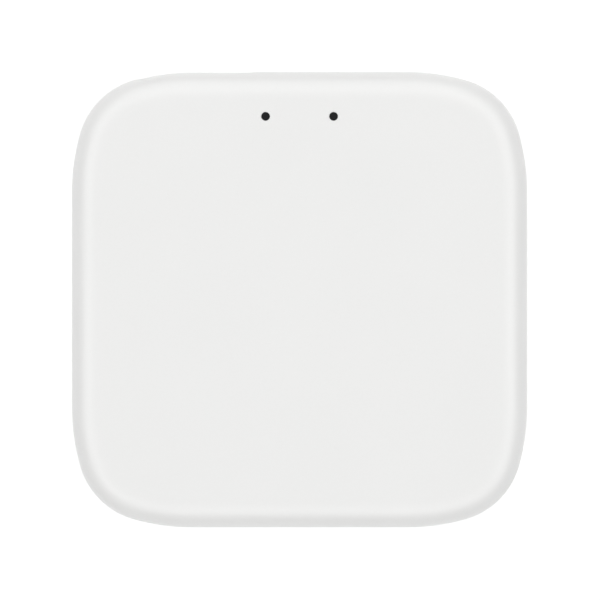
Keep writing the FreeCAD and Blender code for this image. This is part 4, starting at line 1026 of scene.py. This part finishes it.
# ----------
# Lamps and the button
@dataclass
class LampWindows:
    """The two status lamps: each a smoked light pipe over a lamp, in a shared dark shroud."""

    shop: Workshop
    tip_radius: float = 0.6 * MM
    tip_round: float = 0.05 * MM
    shoulder: float = 1.8 * MM
    shoulder_round: float = 0.15 * MM
    lamp_edge: float = 0.03 * MM
    shroud_edge: float = 0.15 * MM

    def build(self) -> None:
        """Makes the pipes, and eases the lamps and their shroud."""
        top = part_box("top_cover")[1].z - self.shoulder
        for node in PIPES:
            low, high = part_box(node)
            radius = (high.x - low.x) / 2
            profile = [(radius - a, low.z + b) for a, b in rounding(self.shoulder_round)[::-1]]
            profile += [(radius - a, top - b) for a, b in rounding(self.shoulder_round)]
            profile += [(self.tip_radius, top)]
            profile += [(self.tip_radius - a, high.z - b) for a, b in rounding(self.tip_round)]
            pipe = turned(node + "_smoked", profile, Vector((*middle(node), 0)))
            self.shop.place(pipe, "pipe_smoke", "hub", node)
        for node in ("status_led_left", "status_led_right"):
            self.shop.ease(node, self.lamp_edge)
        self.shop.ease("led_light_shroud", self.shroud_edge)


@dataclass
class ResetButton:
    """The reset button with its switch. The button and the switch's plunger move.

    tail is (radius, length). dish_inset is how many edge roundings in from the side the dish starts, and
    dome_crown is the share of a step that the dome's middle face takes.
    """

    shop: Workshop
    radius: float = 1.9 * MM
    edge_round: float = 0.25 * MM
    dish: float = 0.25 * MM
    dish_inset: float = 1.6
    dish_steps: int = 6
    flange: float = 0.8 * MM
    flange_round: float = 0.1 * MM
    tail: Point = (1.4 * MM, 0.5 * MM)
    dome_sheet: float = 0.1 * MM
    dome_crown: float = 0.2
    dome_steps: int = 10
    dome_slack: float = 0.01 * MM
    dome_travel: float = 0.3 * MM
    housing_edge: float = 0.1 * MM
    bracket_edge: float = 0.06 * MM
    pin_edge: float = 0.05 * MM
    plunger_edge: float = 0.08 * MM

    def profile(self, length: float, flange_radius: float) -> list[Point]:
        """The button's section as (radius, distance from the tail's end).

        Args:
            length: The whole length.
            flange_radius: The flange's radius.

        Returns:
            The section, from the tail to the middle of the dish.
        """
        tail_radius, tail = self.tail
        r = self.flange_round
        points = [(tail_radius - r, 0), (tail_radius, r), (tail_radius, tail), (flange_radius - r, tail)]
        points += [(flange_radius, tail + r), (flange_radius, tail + self.flange - r)]
        points += [(flange_radius - r, tail + self.flange), (self.radius, tail + self.flange)]
        points += [(self.radius - a, length - b) for a, b in rounding(self.edge_round)]
        rim = self.radius - self.edge_round * self.dish_inset
        for i in range(self.dish_steps):
            out = 1 - i / self.dish_steps
            points.append((rim * out, length - self.dish * (1 - out * out)))
        return points

    def build(self) -> None:
        """Makes the button, and eases the switch's parts."""
        low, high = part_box("reset_button")
        profile = self.profile(high.x - low.x, (high.y - low.y) / 2)
        button = turned("reset_button_moulded", profile, left_middle("reset_button"), Axis.X, count=96)
        self.shop.place(button, "button_grey", "reset_button", "reset_button")
        self.shop.ease("reset_switch_housing", self.housing_edge)
        self.shop.ease("reset_switch_bracket", self.bracket_edge)
        self.shop.ease("reset_switch_pins", self.pin_edge)
        self.shop.ease("reset_switch_plunger", self.plunger_edge, "switch_plunger")
        self.dome()

    def dome(self) -> None:
        """Makes the spring dome."""
        low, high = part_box("reset_switch_dome")
        radius, rise = (high.y - low.y) / 2, high.x - low.x - self.dome_slack
        outer = (radius**2 + rise**2) / (2 * rise)
        widest = math.asin(radius / outer)
        steps, crown = self.dome_steps, self.dome_crown
        turns = [widest * (i + crown) / (steps + crown) for i in range(steps + 1)]
        inner = outer - self.dome_sheet
        profile = [(inner * math.sin(t), max(rise - outer + inner * math.cos(t), 0.0)) for t in turns]
        profile += [(outer * math.sin(t), rise - outer + outer * math.cos(t)) for t in reversed(turns)]
        foot = left_middle("reset_switch_dome")
        dome = turned("reset_switch_dome_sprung", profile, foot, Axis.X)
        self.shop.place(dome, "dome_steel", "hub", "reset_switch_dome")
        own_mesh(dome)


@dataclass
class Electronics:
    """The ports' metal and plastic and everything on the board, with the edges that pressing and moulding leave.

    edges says how wide the rounding of each node's edges is, in millimetres.
    """

    shop: Workshop
    edges: tuple[tuple[str, float], ...] = (
        ("ethernet_jack_shield", 0.1),
        ("ethernet_jack_housing", 0.06),
        ("ethernet_jack_contacts", 0.05),
        ("usb_port_shell", 0.08),
        ("usb_port_insulator", 0.08),
        ("usb_port_contacts", 0.015),
        ("main_board", 0.05),
        ("processor_chip", 0.04),
        ("memory_chip", 0.04),
        ("flash_chip", 0.04),
        ("lan_transformer", 0.08),
        ("voltage_regulators", 0.04),
        ("component_leads", 0.03),
        ("power_inductors", 0.06),
        ("bulk_capacitor_cans", 0.06),
        ("bulk_capacitor_bases", 0.08),
        ("clock_crystals", 0.05),
        ("ceramic_capacitors", 0.03),
        ("chip_resistors", 0.02),
        ("chip_end_caps", 0.03),
        ("zigbee_radio_board", 0.03),
        ("zigbee_radio_chip", 0.03),
        ("zigbee_radio_shield", 0.04),
        ("zigbee_radio_antenna", 0.012),
        ("wifi_radio_board", 0.03),
        ("wifi_radio_chip", 0.03),
        ("wifi_radio_shield", 0.04),
        ("wifi_radio_antenna", 0.012),
    )

    def build(self) -> None:
        """Eases the edges of each piece in turn."""
        for node, width in self.edges:
            self.shop.ease(node, width * MM)


# ----------
# Studio
@dataclass(frozen=True)
class Softbox:
    """A rectangular soft light that faces the hub. turn is from the rear and rise from the floor, in degrees."""

    title: str
    turn: float
    rise: float
    distance: float
    width: float
    height: float
    watts: float

    def build(self) -> None:
        """Makes the light."""
        data = bpy.data.lights.new(self.title, "AREA")
        data.shape = "RECTANGLE"
        data.size, data.size_y = self.width, self.height
        data.energy = self.watts
        light = bpy.data.objects.new(self.title, data)
        bpy.context.scene.collection.objects.link(light)
        turn, rise = math.radians(self.turn), math.radians(self.rise)
        away = Vector((math.sin(turn) * math.cos(rise), math.cos(turn) * math.cos(rise), math.sin(rise)))
        light.location = away * self.distance
        light.rotation_euler = away.to_track_quat("Z", "Y").to_euler()


@dataclass
class Studio:
    """The floor, the lights and the camera.

    Of the pairs, floor_glow is the floor's painted glow (inside, outside) the pool of painted light round the hub,
    pool is where its fading (starts, ends), horizon and surround are (height, brightness), rear_bias is the
    surround's strength (in front, behind), and aim is (across, back). lens and sensor are in millimetres. distance
    is from the height of the outline's edge.
    """

    floor_half: float = 1.5
    floor_level: float = -0.02 * MM
    floor_colour: str = "#B4B4B4"
    floor_roughness: float = 0.9
    floor_glow: Point = (0.63, 0.16)
    pool: Point = (74.0 * MM, 230.0 * MM)
    pool_back: float = 15.0 * MM
    lens: float = 200.0
    sensor: float = 36.0
    far_clip: float = 10.0
    edge_height: float = 16.8 * MM
    distance: float = 475.8 * MM
    aim: Point = (0.06 * MM, -0.04 * MM)
    horizon: tuple[Point, ...] = ((0.0, 0.34), (0.035, 0.34), (0.05, 0.0))
    surround: tuple[Point, ...] = ((0.5, 0.06), (0.64, 1.0), (0.88, 1.0), (0.93, 0.12))
    rear_bias: Point = (1.98, 1.64)
    softboxes: tuple[Softbox, ...] = (Softbox("rear_softbox", 0, 26, 0.7, 0.6, 0.2, 0.6),)

    def build(self) -> None:
        """Makes all of it."""
        self.make_floor()
        self.make_world()
        for softbox in self.softboxes:
            softbox.build()
        self.make_camera()

    def make_floor(self) -> None:
        """A pale acrylic floor with painted light: its glow is brightest in a soft round pool about the hub, so no
        shade shows beside the hub, and dimmer beyond.
        """
        mesh = bmesh.new()
        half = self.floor_half
        corners = [Vector((x * half, y * half, self.floor_level)) for x, y in ((-1, -1), (1, -1), (1, 1), (-1, 1))]
        mesh.faces.new([mesh.verts.new(corner) for corner in corners])
        floor = piece_from("floor", mesh)
        material = bpy.data.materials.new("acrylic_sheet_painted_glow")
        material.use_nodes = True
        tree = material.node_tree
        tree.nodes.clear()
        place = add_node(tree, "ShaderNodeTexCoord").outputs["Object"]
        shift = (0, -self.pool_back, 0)
        way = add_node(tree, "ShaderNodeMapping", Vector=place, Location=shift).outputs["Vector"]
        away = add_node(tree, "ShaderNodeVectorMath", {"operation": "LENGTH"}, Vector=way)
        # Painted light: the emission is a pool of glow round the hub, a little to its rear, that paints out the
        # hub's shade on the floor, and fades to a dimmer glow beyond.
        glow = add_node(
            tree,
            "ShaderNodeMapRange",
            {"interpolation_type": "SMOOTHSTEP"},
            Value=away.outputs["Value"],
            From_Min=self.pool[0],
            From_Max=self.pool[1],
            To_Min=self.floor_glow[0],
            To_Max=self.floor_glow[1],
        )
        surface = add_node(
            tree,
            "ShaderNodeBsdfPrincipled",
            Base_Color=linear(self.floor_colour),
            Roughness=self.floor_roughness,
            Emission_Color=linear("#FFFFFF"),
            Emission_Strength=glow.outputs["Result"],
        )
        add_node(tree, "ShaderNodeOutputMaterial", Surface=surface.outputs["BSDF"])
        floor.data.materials.append(material)

    def make_world(self) -> None:
        """A soft surround: a grey horizon that meets the floor, a dark band, a bright ring, and dim overhead."""
        world = bpy.data.worlds.new("studio")
        world.use_nodes = True
        tree = world.node_tree
        tree.nodes.clear()
        way = add_node(tree, "ShaderNodeTexCoord").outputs["Generated"]
        parts = add_node(tree, "ShaderNodeSeparateXYZ", Vector=way)
        ramp = add_node(tree, "ShaderNodeValToRGB", Fac=parts.outputs["Z"])
        stops = ramp.color_ramp.elements
        stops.remove(stops[-1])
        for index, (height, grey) in enumerate(self.horizon + self.surround):
            stop = stops[0] if index == 0 else stops.new(height)
            stop.color = (grey, grey, grey, 1.0)
        low, high = self.rear_bias
        span = {"From_Min": -1.0, "From_Max": 1.0, "To_Min": low, "To_Max": high}
        strength = add_node(tree, "ShaderNodeMapRange", Value=parts.outputs["Y"], **span).outputs["Result"]
        back = add_node(tree, "ShaderNodeBackground", Color=ramp.outputs["Color"], Strength=strength)
        add_node(tree, "ShaderNodeOutputWorld", Surface=back.outputs["Background"])
        bpy.context.scene.world = world

    def make_camera(self) -> None:
        """A long lens straight above, with the rear side at the top of the picture."""
        data = bpy.data.cameras.new("camera")
        data.lens = self.lens
        data.sensor_width = self.sensor
        data.clip_end = self.far_clip
        camera = bpy.data.objects.new("camera", data)
        bpy.context.scene.collection.objects.link(camera)
        camera.location = (*self.aim, self.edge_height + self.distance)
        bpy.context.scene.camera = camera
        bpy.context.scene.view_settings.view_transform = "Standard"


def main() -> None:
    """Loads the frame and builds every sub-assembly."""
    logging.basicConfig(level=logging.INFO, format="%(name)s %(message)s")
    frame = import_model()
    shop = Workshop(frame["record"])
    shop.dress_frame(frame["nodes"])
    Housing(shop).build()
    LampWindows(shop).build()
    ResetButton(shop).build()
    Electronics(shop).build()
    Studio().build()


if __name__ == "__main__":
    main()
